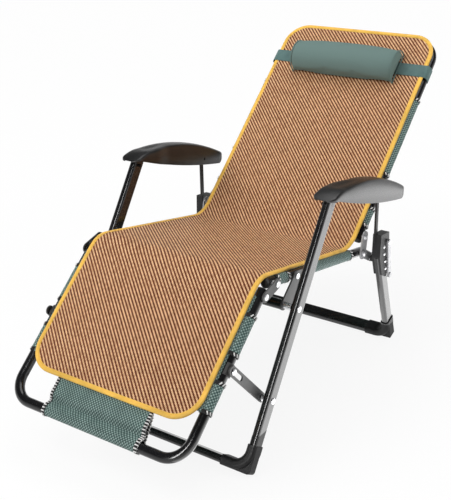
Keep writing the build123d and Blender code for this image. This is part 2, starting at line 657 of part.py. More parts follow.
foot_ranges = [(-end, -start) for start, end in FOOT_SLEEVES]
foot_sling = sling_sheet(leg_plane, FOOT_X, foot_ranges[-1][0], -SLING_END)
foot_sling += sling_sheet(leg_plane, FOOT_WRAP_WIDTH / 2, -FOOT_END, foot_ranges[-1][0])
foot_sling += bar_wrap(leg_plane, -FOOT_END, FOOT_WRAP_WIDTH)
for sleeve in sleeves(leg_plane, FOOT_X, foot_ranges):
    foot_sling += sleeve
add("sling_footrest", foot_sling)

seat_sling = sling_sheet(seat_plane, SEAT_X, SEAT_MAT_GAP, SEAT_SLEEVES[-1][1])
for sleeve in sleeves(seat_plane, SEAT_X, SEAT_SLEEVES):
    seat_sling += sleeve
add("sling_seat", seat_sling)

back_sling = sling_sheet(back_plane, BACK_X, SLING_END, BACK_SLEEVES[-1][1])
back_sling += sling_sheet(back_plane, HEAD_WRAP_WIDTH / 2, BACK_SLEEVES[-1][1], HEAD_BAR)
back_sling += bar_wrap(back_plane, HEAD_BAR, HEAD_WRAP_WIDTH)
for sleeve in sleeves(back_plane, BACK_X, BACK_SLEEVES):
    back_sling += sleeve
add("sling_back", back_sling)


# Mat: three flat sections and the two bends between them
def mat_section(plane, start, end, rounded):
    """Flat section of the mat, with the corners of one end rounded if asked."""
    face = Pos(0, (start + end) / 2) * Rectangle(MAT_WIDTH, end - start)
    if rounded is not None:
        corners = face.vertices().sort_by(Axis.Y)
        ends = corners[:2] if rounded == "low" else corners[-2:]
        face = fillet(ends, MAT_CORNER)
    return extrude(plane.offset(-MAT_THICK) * face, amount=MAT_THICK)


def bend_edge(first, corner, last):
    """Arc that eases from one section into the next about their corner."""
    middle = tuple(first[i] / 4 + corner[i] / 2 + last[i] / 4 for i in range(2))
    return ThreePointArc(first, middle, last)


def mat_bend(lower, upper, lower_at, upper_at, corner, half_turn, side):
    """Curved strip of mat between two sections."""
    deep = MAT_THICK / math.cos(math.radians(half_turn))
    tilt = math.radians(side)
    under = (corner[0] + deep * math.sin(tilt), corner[1] - deep * math.cos(tilt))
    top = bend_edge(spot(lower, lower_at, 0), corner, spot(upper, upper_at, 0))
    low = bend_edge(spot(lower, lower_at, -MAT_THICK), under, spot(upper, upper_at, -MAT_THICK))
    face = make_face(top + Line(top @ 1, low @ 1) + low + Line(low @ 0, top @ 0))
    return side_prism(face, -MAT_WIDTH / 2, MAT_WIDTH)


add("mat_footrest", mat_section(leg_plane, -LEG_SECTION, -KNEE_MAT_GAP, "low"))
add("mat_seat", mat_section(seat_plane, SEAT_MAT_GAP, SEAT_SECTION - SEAT_MAT_GAP, None))
add("mat_back", mat_section(back_plane, HIP_MAT_GAP, BACK_SECTION, "high"))
knee_bend = mat_bend(
    leg_plane,
    seat_plane,
    -KNEE_MAT_GAP + BEND_GAP,
    SEAT_MAT_GAP - BEND_GAP,
    KNEE,
    (LEG_SLOPE + SEAT_SLOPE) / 2,
    (LEG_SLOPE - SEAT_SLOPE) / 2,
)
add("mat_knee_bend", knee_bend)
hip_bend = mat_bend(
    seat_plane,
    back_plane,
    SEAT_SECTION - SEAT_MAT_GAP + BEND_GAP,
    HIP_MAT_GAP - BEND_GAP,
    HIP,
    (BACK_SLOPE + SEAT_SLOPE) / 2,
    (BACK_SLOPE - SEAT_SLOPE) / 2,
)
add("mat_hip_bend", hip_bend)


# Head pillow: a D-shaped bolster, fullest in the middle and drawn in at its ends
def pillow_face(share):
    """Cross-section of the pillow: flat below, one crown of two arcs above."""
    half = PILLOW_WIDTH / 2 * share
    crown = PILLOW_CROWN * share
    right = TangentArc((0, crown), (half, 0), tangent=(1, 0))
    left = TangentArc((0, crown), (-half, 0), tangent=(-1, 0))
    return make_face(right + left + Line((-half, 0), (half, 0)))


pillow_low = STRAP_THICK + 2 * SOFT_GAP
end_shares = (PILLOW_END_SHARE, (1 + PILLOW_END_SHARE) / 2 + 0.03, 1.0)
stations = []
for place, share in zip((-0.5, -0.36, 0.0, 0.36, 0.5), end_shares + end_shares[1::-1]):
    across = back_plane.from_local_coords(Vector(place * PILLOW_LENGTH, PILLOW_AT, pillow_low))
    section = Plane(origin=across, x_dir=back_plane.y_dir, z_dir=(1, 0, 0))
    stations.append(section * pillow_face(share))
add("pillow", loft(stations))

strap_out = max(MAT_WIDTH / 2, BACK_X + TUBE_R) + FIT_GAP + STRAP_THICK
strap_high = SOFT_GAP + STRAP_THICK
strap_low = -TUBE_DROP - TUBE_R - FIT_GAP - STRAP_THICK
strap_plane = Plane(
    origin=back_plane.from_local_coords(Vector(0, STRAP_AT - STRAP_WIDTH / 2, (strap_high + strap_low) / 2)),
    x_dir=(1, 0, 0),
    z_dir=back_plane.y_dir,
)
strap_height = strap_high - strap_low
strap_ring = RectangleRounded(2 * strap_out, strap_height, STRAP_ROUND) - RectangleRounded(
    2 * (strap_out - STRAP_THICK),
    strap_height - 2 * STRAP_THICK,
    STRAP_ROUND - STRAP_THICK,
)
add("pillow_strap", extrude(strap_plane * strap_ring, amount=STRAP_WIDTH))

# The origin is on the floor, midway between the chair's ends
end_names = ("sling_footrest", "footrest_frame", "sling_back", "back_frame")
ends = [nodes[name].bounding_box() for name in end_names]
middle_y = (min(box.min.Y for box in ends) + max(box.max.Y for box in ends)) / 2
for name, shape in nodes.items():
    export_step(Pos(0, -middle_y, 0) * shape, "parts/" + name + ".step")

pivots = {
    "knee_pin": KNEE_PIN,
    "hip_pin": HIP_PIN,
    "hip_rivet": HIP_RIVET,
    "seat_pivot": SEAT_PIVOT,
    "link_pin": LINK_PIN,
    "link_anchor": LINK_ANCHOR,
    "arm_front": ARM_FRONT,
    "arm_rear": ARM_REAR,
    "stay_bolt": STAY_BOLT,
    "lever_pin": LEVER_PIN,
}
print("middle_y", round(middle_y, 3), "nodes", len(nodes))
for name, place in pivots.items():
    print(name, round(place[0] - middle_y, 3), round(place[1], 3))
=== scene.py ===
"""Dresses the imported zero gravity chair: mat, sling, pillow, armrests, stitching, finishes and studio."""

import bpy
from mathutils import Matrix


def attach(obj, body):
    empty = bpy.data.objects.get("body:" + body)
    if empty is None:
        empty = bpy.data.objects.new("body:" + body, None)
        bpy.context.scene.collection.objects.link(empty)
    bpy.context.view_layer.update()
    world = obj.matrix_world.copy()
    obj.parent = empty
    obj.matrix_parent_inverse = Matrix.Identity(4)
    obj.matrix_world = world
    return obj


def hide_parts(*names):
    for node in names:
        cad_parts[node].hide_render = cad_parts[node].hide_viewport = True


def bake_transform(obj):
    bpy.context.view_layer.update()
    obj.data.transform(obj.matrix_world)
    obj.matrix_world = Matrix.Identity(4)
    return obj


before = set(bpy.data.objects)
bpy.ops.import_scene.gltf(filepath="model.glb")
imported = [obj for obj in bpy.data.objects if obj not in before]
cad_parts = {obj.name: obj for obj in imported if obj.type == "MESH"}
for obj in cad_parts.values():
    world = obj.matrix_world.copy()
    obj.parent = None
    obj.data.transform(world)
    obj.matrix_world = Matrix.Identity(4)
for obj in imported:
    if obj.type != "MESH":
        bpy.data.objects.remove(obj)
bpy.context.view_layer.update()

import logging
import math
from dataclasses import dataclass, field
from enum import Enum
from typing import Any, Callable, Iterable

import bmesh
import bpy
import numpy as np
from mathutils import Matrix, Vector

log = logging.getLogger("chair")
MM = 0.001
Pair = tuple[float, float]
Colour = tuple[float, float, float]
Place = tuple[float, float, float]
WHITE: Colour = (1.0, 1.0, 1.0)


def mm(*values: float) -> tuple[float, ...]:
    """Millimetres as metres."""
    return tuple(value * MM for value in values)


def srgb(*display: int) -> Colour:
    """Linear colour of three display values from 0 to 255."""
    shares = [value / 255 for value in display]
    return tuple(s / 12.92 if s <= 0.04045 else ((s + 0.055) / 1.055) ** 2.4 for s in shares)


def tint(colour: Colour, scale: float, lift: float = 0.0) -> Colour:
    """A colour made paler or deeper, and never past white."""
    return tuple(min(1.0, c * scale + lift) for c in colour)


# Shader maths


def on_two(operation: str, swap: bool = False) -> Callable[["Sock", Any], "Sock"]:
    """A Sock method that adds a Math node on it and another value, which comes first when swapped."""
    return lambda self, other: self.math(operation, other, swap=swap)


def on_one(operation: str) -> Callable[["Sock"], "Sock"]:
    """A Sock method that adds a Math node on it alone."""
    return lambda self: self.math(operation)


class Sock:
    """A value on its way through a material, with arithmetic that adds Math nodes."""

    __add__ = __radd__ = on_two("ADD")
    __sub__, __rsub__ = on_two("SUBTRACT"), on_two("SUBTRACT", swap=True)
    __mul__ = __rmul__ = on_two("MULTIPLY")
    __truediv__, __rtruediv__ = on_two("DIVIDE"), on_two("DIVIDE", swap=True)
    __mod__, __rmod__ = on_two("FLOORED_MODULO"), on_two("FLOORED_MODULO", swap=True)
    __pow__, __rpow__ = on_two("POWER"), on_two("POWER", swap=True)
    __lt__, __gt__ = on_two("LESS_THAN"), on_two("GREATER_THAN")
    most = on_two("MAXIMUM")
    floor, fract = on_one("FLOOR"), on_one("FRACT")
    sine, size = on_one("SINE"), on_one("ABSOLUTE")

    def __init__(self, wires: "Wiring", socket: bpy.types.NodeSocket) -> None:
        """Keeps the node tree and the socket the value comes from."""
        self.wires = wires
        self.socket = socket

    def math(self, operation: str, *others: Any, swap: bool = False) -> "Sock":
        """One Math node on this value and others, which come first when swapped."""
        values = [*others, self] if swap else [self, *others]
        return self.wires.node("ShaderNodeMath", {"operation": operation}, dict(enumerate(values)))

    def also(self, out: int | str) -> "Sock":
        """Another output of the same node."""
        return Sock(self.wires, self.socket.node.outputs[out])

    def within(self, low: float, high: float) -> "Sock":
        """0 at low, 1 at high, a straight line between."""
        values = {0: self, 1: low, 2: high, 3: 0.0, 4: 1.0}
        return self.wires.node("ShaderNodeMapRange", {"clamp": True}, values)


class Wiring:
    """A node tree in the making, with one way to add a node."""

    def __init__(self, tree: bpy.types.NodeTree) -> None:
        """Starts with an empty tree."""
        self.tree = tree
        self.tree.nodes.clear()

    def node(self, kind: str, settings: dict[str, Any] | None = None,
             values: dict[int | str, Any] | None = None, out: int | str = 0) -> Sock:
        """Adds one node.

        Args:
            kind: the node's type.
            settings: its settings, set first.
            values: numbers, colours or Socks for its inputs.
            out: which output to hand on.

        Returns:
            The chosen output, or the first input of an output node.
        """
        made = self.tree.nodes.new(kind)
        for key, value in (settings or {}).items():
            setattr(made, key, value)
        for key, value in (values or {}).items():
            self.feed(made.inputs[key], value)
        return Sock(self, made.outputs[out]) if made.outputs else Sock(self, made.inputs[0])

    def feed(self, socket: bpy.types.NodeSocket, value: Any) -> None:
        """Links a Sock to a socket, or sets a number or colour on it.

        Args:
            socket: the input.
            value: what it gets.
        """
        if isinstance(value, Sock):
            self.tree.links.new(value.socket, socket)
        elif isinstance(value, tuple) and socket.type == "RGBA":
            socket.default_value = (*value, 1.0) if len(value) == 3 else value
        else:
            socket.default_value = value

    def parts(self, vector: Sock) -> tuple[Sock, Sock, Sock]:
        """A vector's three values."""
        first = self.node("ShaderNodeSeparateXYZ", None, {0: vector})
        return first, first.also(1), first.also(2)

    def mix(self, share: Any, first: Any, second: Any, how: str = "MIX") -> Sock:
        """Mixes two colours by a share from 0 to 1."""
        return self.node("ShaderNodeMix", {"data_type": "RGBA", "blend_type": how},
                         {0: share, 6: first, 7: second}, out=2)


class Paint(Wiring):
    """A material in the making."""

    def __init__(self, name: str) -> None:
        """Starts a material with one Principled shader and its output.

        Args:
            name: the material's name.
        """
        self.material = bpy.data.materials.new(name)
        self.material.use_nodes = True
        super().__init__(self.material.node_tree)
        self.shader = self.node("ShaderNodeBsdfPrincipled")
        self.out = self.node("ShaderNodeOutputMaterial", None, {0: self.shader}).socket

    def surface(self, **values: Any) -> "Paint":
        """Sets the shader's inputs by name, with underscores for spaces, and returns the paint."""
        for key, value in values.items():
            self.feed(self.shader.socket.node.inputs[key.replace("_", " ")], value)
        return self

    def backdrop(self, share: Sock) -> "Paint":
        """Shows plain white in place of part of the surface, to the camera and in reflections.

        Args:
            share: how much of it, from 0 to 1.

        Returns:
            The paint.
        """
        camera = self.node("ShaderNodeLightPath", out="Is Camera Ray")
        seen = camera.most(camera.also("Is Glossy Ray")).most(camera.also("Is Transmission Ray"))
        white = self.node("ShaderNodeEmission", None, {0: WHITE, 1: 1.0})
        both = self.node("ShaderNodeMixShader", None, {0: seen * share, 1: self.shader, 2: white})
        self.feed(self.out, both)
        return self

    def place(self) -> Sock:
        """The place on the object, in metres."""
        return self.node("ShaderNodeTexCoord", out="Object")

    def strands(self, pitch: float, first: float = 400.0) -> tuple[Sock, Sock]:
        """The place on the cloth laid flat, counted in strands.

        Args:
            pitch: metres from strand to strand.
            first: the count in the middle, large enough that no count is negative.

        Returns:
            Strands across and along.
        """
        flat = self.node("ShaderNodeAttribute", {"attribute_name": "flat"}, out="Vector")
        across, along, _ = self.parts(flat)
        return across / pitch + first, along / pitch + first

    def noise(self, scale: float, detail: float = 2.0, stretch: Place = (1.0, 1.0, 1.0)) -> Sock:
        """Soft noise from 0 to 1 over the object.

        Args:
            scale: spots per metre.
            detail: how many finer layers.
            stretch: scale along each axis.

        Returns:
            The noise value.
        """
        spread = self.node("ShaderNodeVectorMath", {"operation": "MULTIPLY"}, {0: self.place(), 1: stretch})
        return self.node("ShaderNodeTexNoise", None, {"Vector": spread, "Scale": scale, "Detail": detail})

    def bump(self, height: Sock, distance: float, strength: float = 1.0) -> Sock:
        """Relief of a height from 0 to 1 times a distance in metres."""
        return self.node("ShaderNodeBump", None,
                         {"Strength": strength, "Distance": distance, "Height": height})


# Finishes


@dataclass(frozen=True)
class GlossPaint:
    """Black powder coat on steel tube, with faint orange peel and dust."""

    name: str
    colour: Colour
    rough: float
    level: float
    coat: float

    def make(self) -> bpy.types.Material:
        """Builds the material.

        Returns:
            The new material.
        """
        paint = Paint(self.name)
        dust = paint.noise(14, 4).within(0.42, 0.75)
        return paint.surface(
            Base_Color=paint.mix(dust * 0.6, self.colour, tint(self.colour, 1.9, 0.006)),
            Roughness=self.rough + dust * 0.1,
            Specular_IOR_Level=self.level,
            Coat_Weight=self.coat,
            Coat_Roughness=0.14,
            Normal=paint.bump(paint.noise(420), 0.05 * MM, 0.5),
        ).material


@dataclass(frozen=True)
class MouldedPlastic:
    """Black moulded plastic with a fine grain, a little paler where it is rubbed."""

    name: str
    colour: Colour
    rough: float
    level: float

    def make(self) -> bpy.types.Material:
        """Builds the material.

        Returns:
            The new material.
        """
        paint = Paint(self.name)
        grain = paint.noise(1500)
        rub = paint.noise(22, 5).within(0.45, 0.8)
        edge = paint.node("ShaderNodeNewGeometry", out="Pointiness").within(0.5, 0.62)
        worn = (rub * 0.35 + edge * 0.5).within(0.0, 1.0)
        return paint.surface(
            Base_Color=paint.mix(worn, self.colour, tint(self.colour, 2.6, 0.012)),
            Roughness=self.rough + grain * 0.12,
            Specular_IOR_Level=self.level,
            Normal=paint.bump(grain, 0.25 * MM, 0.6),
        ).material


@dataclass(frozen=True)
class PlatedSteel:
    """Zinc plated steel, lightly brushed and spotted."""

    name: str
    colour: Colour
    rough: float
    metal: float = 1.0

    def make(self) -> bpy.types.Material:
        """Builds the material.

        Returns:
            The new material.
        """
        paint = Paint(self.name)
        brush = paint.noise(900, 3, (0.15, 1.0, 1.0))
        spots = paint.noise(120, 4).within(0.4, 0.7)
        return paint.surface(
            Base_Color=paint.mix(spots * 0.6, self.colour, tint(self.colour, 0.62)),
            Metallic=self.metal,
            Roughness=self.rough + brush * 0.16,
            Normal=paint.bump(brush, 0.08 * MM, 0.5),
        ).material


@dataclass(frozen=True)
class TwillMat:
    """Tan rattan strands in a two-over-two twill, with painted shade in the gaps and at the floats' ends, and
    each float of its own tone.
    """

    name: str
    strand: float
    light: Colour
    middle: Colour
    weft: Colour
    # dark: the weft's deepest tone, and also the colour of the painted shade in the gaps
    dark: Colour
    over: float = 2.0
    turn: float = 4.0

    def crown(self, lane: Sock, run: Sock, least: float) -> Sock:
        """How high a strand stands.

        Args:
            lane: strands across it.
            run: strands along it, from the start of a float.
            least: its height at a float's ends.

        Returns:
            The height, from 0 to 1.
        """
        aside = (lane.fract() * 2.0 - 1.0).size()
        length = ((run % self.turn) / self.over).fract()
        return (1 - aside ** 2.4) * ((length * math.pi).sine() * 0.55 + least)

    def make(self) -> bpy.types.Material:
        """Builds the material.

        Returns:
            The new material.
        """
        paint = Paint(self.name)
        u, v = paint.strands(self.strand)
        warp_up = (u.floor() + v.floor()) % self.turn < 1.5
        height = (self.crown(u, u.floor() + v, 0.45) * warp_up
                  + self.crown(v, v.floor() + u, 0.35) * (1 - warp_up))
        streak = paint.noise(300, 3, (3.0, 0.3, 0.3))
        float_number = ((u.floor() + v) / self.turn).floor()
        chance = ((u.floor() * 12.99 + float_number * 78.23).sine() * 437.5).fract()
        plain = paint.mix(streak.within(0.35, 0.85) * 0.6, self.light, self.middle)
        warp = paint.mix(chance.within(0.35, 1.0) * 0.4, plain, self.weft)
        weft = paint.mix(streak.within(0.3, 0.8), self.weft, self.dark)
        strands = paint.mix(warp_up, weft, warp)
        # painted shade: strands darken towards the dark colour where they sink, in the gaps and at a float's
        # ends
        shaded = paint.mix((1 - height).within(0.45, 1.0) * 0.8, strands, self.dark)
        return paint.surface(
            Base_Color=paint.mix(paint.noise(30, 3).within(0.35, 0.75) * 0.08, shaded, self.middle),
            Roughness=0.66 - height * 0.12,
            Specular_IOR_Level=0.15,
            Normal=paint.bump(height, 0.8 * MM, 0.8),
        ).material


@dataclass(frozen=True)
class MeshCloth:
    """Open mesh of coated yarn: pale knots in a diagonal lattice over darker yarn."""

    name: str
    knot: float
    dark: Colour
    pale: Colour

    def make(self) -> bpy.types.Material:
        """Builds the material.

        Returns:
            The new material.
        """
        paint = Paint(self.name)
        first, second = ((count * math.tau).sine() for count in paint.strands(self.knot))
        knots = (first * second * 0.5 + 0.5).within(0.42, 0.92)
        lattice = first.size().most(second.size()).within(0.2, 1.0)
        tone = paint.noise(26, 3).within(0.45, 0.8)
        yarn = paint.mix(knots * 0.8, self.dark, self.pale)
        return paint.surface(
            Base_Color=paint.mix(tone * 0.35, yarn, tint(self.dark, 0.55)),
            Roughness=0.6 - knots * 0.15,
            Specular_IOR_Level=0.35,
            Normal=paint.bump(knots * 0.7 + lattice * 0.3, 0.6 * MM, 0.8),
        ).material


@dataclass(frozen=True)
class PlainCloth:
    """Plain woven cloth or tape with a fine rib, and soft shade in its folds."""

    name: str
    colour: Colour
    rib: float
    sheen: float
    rough: float

    def make(self) -> bpy.types.Material:
        """Builds the material.

        Returns:
            The new material.
        """
        paint = Paint(self.name)
        x, y, z = paint.parts(paint.place())
        wave = math.tau / self.rib
        weave = (x * wave).sine() * ((y + z) * wave).sine() * 0.5 + 0.5
        tone = paint.noise(24, 4)
        base = paint.mix(tone.within(0.3, 0.75), self.colour, tint(self.colour, 0.62))
        return paint.surface(
            Base_Color=paint.mix(weave * 0.4, base, tint(self.colour, 1.22)),
            Roughness=self.rough - weave * 0.08,
            Specular_IOR_Level=0.25,
            Sheen_Weight=self.sheen,
            Sheen_Roughness=0.5,
            Normal=paint.bump(weave * 0.6 + tone * 0.4, 0.4 * MM, 0.7),
        ).material


class Finish(Enum):
    """Every finish on the chair."""

    TUBE = GlossPaint("black_tube_paint", srgb(14, 14, 16), 0.17, 0.38, 0.3)
    LEG = GlossPaint("black_leg_paint", srgb(13, 13, 15), 0.22, 0.55, 0.35)
    PLATE = PlatedSteel("grey_plate", srgb(176, 176, 178), 0.36, 0.7)
    DARK_PLATE = PlatedSteel("dark_plate", srgb(54, 54, 57), 0.36)
    ZINC = PlatedSteel("bright_zinc", srgb(232, 232, 234), 0.2)
    PLASTIC = MouldedPlastic("black_moulding", srgb(14, 14, 15), 0.3, 0.55)
    SHOE = MouldedPlastic("black_shoe", srgb(14, 14, 15), 0.44, 0.32)
    MAT = TwillMat("rattan_twill", 3.0 * MM, srgb(252, 211, 164), srgb(216, 148, 104), srgb(115, 52, 27),
                   srgb(79, 30, 11))
    BINDING = PlainCloth("orange_binding", srgb(255, 198, 88), 1.1 * MM, 0.1, 0.5)
    SLING = MeshCloth("green_mesh", 8.4 * MM, srgb(52, 77, 73), srgb(172, 196, 190))
    PILLOW = PlainCloth("grey_green_cloth", srgb(94, 124, 123), 1.4 * MM, 0.2, 0.55)
    STRAP = PlainCloth("grey_green_tape", srgb(87, 115, 113), 2.0 * MM, 0.15, 0.7)
    TAPE = PlainCloth("black_edge_tape", srgb(22, 22, 23), 1.2 * MM, 0.1, 0.7)
    THREAD = PlainCloth("white_thread", srgb(250, 250, 248), 0.8 * MM, 0.1, 0.6)

    def material(self) -> bpy.types.Material:
        """The finish's material, made once."""
        return bpy.data.materials.get(self.value.name) or self.value.make()


# Meshes


def new_object(name: str, data: bpy.types.ID, *finishes: Finish) -> bpy.types.Object:
    """Links a mesh, lamp or camera to the scene.

    Args:
        name: the object's name.
        data: what it holds.
        finishes: a mesh's finishes in slot order.

    Returns:
        The new object.
    """
    made = bpy.data.objects.new(name, data)
    bpy.context.scene.collection.objects.link(made)
    for finish in finishes:
        data.materials.append(finish.material())
    return made


@dataclass
class Cloth:
    """Points, faces and flat places of one piece, gathered patch by patch."""

    points: list[np.ndarray] = field(default_factory=list)
    flats: list[np.ndarray] = field(default_factory=list)
    faces: list[list[int]] = field(default_factory=list)
    kinds: list[int] = field(default_factory=list)
    count: int = 0

    def patch(self, points: np.ndarray, flat: np.ndarray | None = None, kind: int = 0,
              wrap_rows: bool = False, wrap_columns: bool = False, caps: bool = False,
              folded: bool = False) -> "Cloth":
        """Adds a grid of quads.

        Args:
            points: rows by columns by 3.
            flat: rows by columns by 2, metres across and along.
            kind: material slot of its faces.
            wrap_rows: join the last row to the first.
            wrap_columns: join the last column to the first.
            caps: close the first and last rows with one face each.
            folded: each row's second half lies back under its first, so close the ends in pairs.

        Returns:
            The same cloth, for chaining.
        """
        rows, columns = points.shape[:2]
        index = np.arange(rows * columns).reshape(rows, columns) + self.count
        for r in range(rows if wrap_rows else rows - 1):
            for c in range(columns if wrap_columns else columns - 1):
                r2, c2 = (r + 1) % rows, (c + 1) % columns
                self.faces.append([index[r, c], index[r, c2], index[r2, c2], index[r2, c]])
        if caps:
            self.faces.append(list(index[0][::-1]))
            self.faces.append(list(index[-1]))
        if folded:
            for row in (index[0], index[-1]):
                for c in range(columns // 2 - 1):
                    self.faces.append([row[c], row[c + 1], row[-2 - c], row[-1 - c]])
        self.points.append(points.reshape(-1, 3))
        spread = np.zeros((rows * columns, 3))
        if flat is not None:
            spread[:, :2] = flat.reshape(-1, 2)
        self.flats.append(spread)
        self.kinds += [kind] * (len(self.faces) - len(self.kinds))
        self.count += rows * columns
        return self

    def tube(self, points: np.ndarray, kind: int = 0) -> "Cloth":
        """Adds a tube of closed rows with capped ends."""
        return self.patch(points, None, kind, wrap_columns=True, caps=True)

    def sheet(self, upper: np.ndarray, lower: np.ndarray, flat: np.ndarray) -> "Cloth":
        """Adds a thin sheet from its two skins, closed all round."""
        points, flats = (np.concatenate([a, b[:, ::-1]], axis=1) for a, b in ((upper, lower), (flat, flat)))
        return self.patch(points, flats, wrap_columns=True, folded=True)

    def build(self, name: str, *finishes: Finish) -> bpy.types.Object:
        """Makes the object, smooth, with its faces turned outwards and its flat places stored.

        Args:
            name: the piece's name.
            finishes: its finishes in slot order.

        Returns:
            The new object.
        """
        mesh = bpy.data.meshes.new(name)
        mesh.from_pydata(np.vstack(self.points).tolist(), [], [[int(i) for i in f] for f in self.faces])
        mesh.polygons.foreach_set("material_index", self.kinds)
        mesh.polygons.foreach_set("use_smooth", [True] * len(mesh.polygons))
        made = new_object(name, mesh, *finishes)
        turn = bmesh.new()
        turn.from_mesh(mesh)
        bmesh.ops.recalc_face_normals(turn, faces=turn.faces)
        turn.to_mesh(mesh)
        turn.free()
        store = mesh.attributes.new("flat", "FLOAT_VECTOR", "POINT")
        store.data.foreach_set("vector", np.vstack(self.flats).astype(np.float32).ravel())
        return made


def together(*values: Any) -> np.ndarray:
    """Values spread to one shape, as points."""
    return np.stack(np.broadcast_arrays(*values), axis=-1)


def ring(count: int, start: float = 0.0) -> np.ndarray:
    """Angles of points evenly round a circle."""
    return start + np.arange(count) * math.tau / count


def smooth_step(value: np.ndarray) -> np.ndarray:
    """Eases from 0 to 1."""
    share = np.clip(value, 0, 1)
    return share * share * (3 - 2 * share)


def corner_inset(gap: np.ndarray, radius: float) -> np.ndarray:
    """How far a side draws in at a gap from an end with rounded corners."""
    lost = np.clip(radius - gap, 0, radius)
    return radius - np.sqrt(np.maximum(radius**2 - lost**2, 0))


def unit(vectors: np.ndarray) -> np.ndarray:
    """Vectors with a length of one."""
    return vectors / (np.linalg.norm(vectors, axis=1)[:, None] + 1e-12)


def run_along(path: np.ndarray) -> np.ndarray:
    """Distance along a path at each of its points."""
    return np.concatenate([[0.0], np.cumsum(np.linalg.norm(np.diff(path, axis=0), axis=1))])


def values_at(spots: np.ndarray, run: np.ndarray, pairs: np.ndarray) -> np.ndarray:
    """Pairs of values at distances along the run that they belong to."""
    return together(*(np.interp(spots, run, column) for column in pairs.T))


def tube_along(path: np.ndarray, radius: float, sides: int) -> np.ndarray:
    """Grid of points of a thin round tube along a path.

    Args:
        path: points by 3.
        radius: the tube's radius.
        sides: points round it.

    Returns:
        Points by sides by 3.
    """
    tangent = unit(np.gradient(path, axis=0))
    guide = np.where(np.abs(tangent[:, :1]) > 0.9, [[0.0, 0.0, 1.0]], [[1.0, 0.0, 0.0]])
    side = unit(np.cross(tangent, guide))
    other = np.cross(tangent, side)
    angle = ring(sides)[None, :, None]
    return path[:, None] + radius * (np.cos(angle) * side[:, None] + np.sin(angle) * other[:, None])


# The chair's side view


def tilted(across: Any, y: Any, z: Any, along: Any, up: Any, tilt: Any) -> np.ndarray:
    """Points a way along and out of a tilted surface, from a side-view place on it."""
    cos, sin = np.cos(tilt), np.sin(tilt)
    return together(across, y + along * cos - up * sin, z + along * sin + up * cos)


@dataclass(frozen=True)
class Section:
    """One flat length of the lying surface, seen from the side: a corner and a slope towards the head."""

    y: float
    z: float
    slope: float

    def at(self, across: Any, along: Any, up: Any) -> np.ndarray:
        """Points at metres to the sitter's left, towards the head from the corner, and out of the top."""
        return tilted(across, self.y, self.z, along, up, math.radians(self.slope))


@dataclass(frozen=True)
class Sides:
    """The sizes that the dressed pieces share with the solids."""

    middle: float = 90.86 * MM
    leg_length: float = 391 * MM
    seat_length: float = 494 * MM
    back_length: float = 748 * MM
    leg_slope: float = 39.8
    seat_slope: float = 12.4
    back_slope: float = 41.5
    tube_drop: float = 20.8 * MM
    sling_drop: float = 6.3 * MM
    foot_half: float = 266.5 * MM
    seat_half: float = 259 * MM
    back_half: float = 256.5 * MM
    foot_bar: float = 475 * MM
    head_bar: float = 735 * MM

    @property
    def leg(self) -> Section:
        """Footrest, from the knee; places on it are negative."""
        return Section(-256.7 * MM - self.middle, 464.6 * MM, self.leg_slope)

    @property
    def seat(self) -> Section:
        """Seat, from the knee to the hip."""
        return Section(self.leg.y, self.leg.z, -self.seat_slope)

    @property
    def back(self) -> Section:
        """Back, from the hip."""
        _, y, z = self.seat.at(0, self.seat_length, 0)
        return Section(float(y), float(z), self.back_slope)


SIDES = Sides()


class LyingLine:
    """The mat's side view as one line with rounded knee and hip, measured from the foot edge."""

    def __init__(self, knee_round: float = 78 * MM, hip_round: float = 92 * MM,
                 fine: float = 0.5 * MM) -> None:
        """Samples the line finely.

        Args:
            knee_round: radius of the round at the knee.
            hip_round: radius of the round at the hip.
            fine: about how far apart its samples are.
        """
        s = SIDES
        half_knee = math.radians((s.leg_slope + s.seat_slope) / 2)
        half_hip = math.radians((s.back_slope + s.seat_slope) / 2)
        knee_cut = knee_round * math.tan(half_knee)
        hip_cut = hip_round * math.tan(half_hip)
        runs = [
            (s.leg_length - knee_cut, s.leg_slope, s.leg_slope),
            (knee_round * 2 * half_knee, s.leg_slope, -s.seat_slope),
            (s.seat_length - knee_cut - hip_cut, -s.seat_slope, -s.seat_slope),
            (hip_round * 2 * half_hip, -s.seat_slope, s.back_slope),
            (s.back_length - hip_cut, s.back_slope, s.back_slope),
        ]
        slopes = []
        for length, first, last in runs:
            slopes.append(np.linspace(first, last, max(2, int(length / fine))))
        step = np.concatenate([np.full(len(a), run[0] / len(a)) for a, run in zip(slopes, runs)])
        tilt = np.radians(np.concatenate(slopes))
        start = s.leg.at(0, -s.leg_length, 0)
        self.s = np.concatenate([[0.0], np.cumsum(step)])
        self.y = start[1] + np.concatenate([[0.0], np.cumsum(step * np.cos(tilt))])
        self.z = start[2] + np.concatenate([[0.0], np.cumsum(step * np.sin(tilt))])
        self.tilt = np.concatenate([tilt[:1], tilt])
        self.length = float(self.s[-1])
        self.middle = runs[0][0] + runs[1][0] + runs[2][0] / 2

    def at(self, across: Any, along: Any, up: Any) -> np.ndarray:
        """Points on the rounded surface.

        Args:
            across: metres to the sitter's left.
            along: metres from the foot edge.
            up: metres out of the top.

        Returns:
            Points, by 3.
        """
        inside = np.clip(along, 0, self.length)
        y, z, tilt = (np.interp(inside, self.s, line) for line in (self.y, self.z, self.tilt))
        return tilted(across, y, z, along - inside, up, tilt)


LINE = LyingLine()


# Sub-assemblies


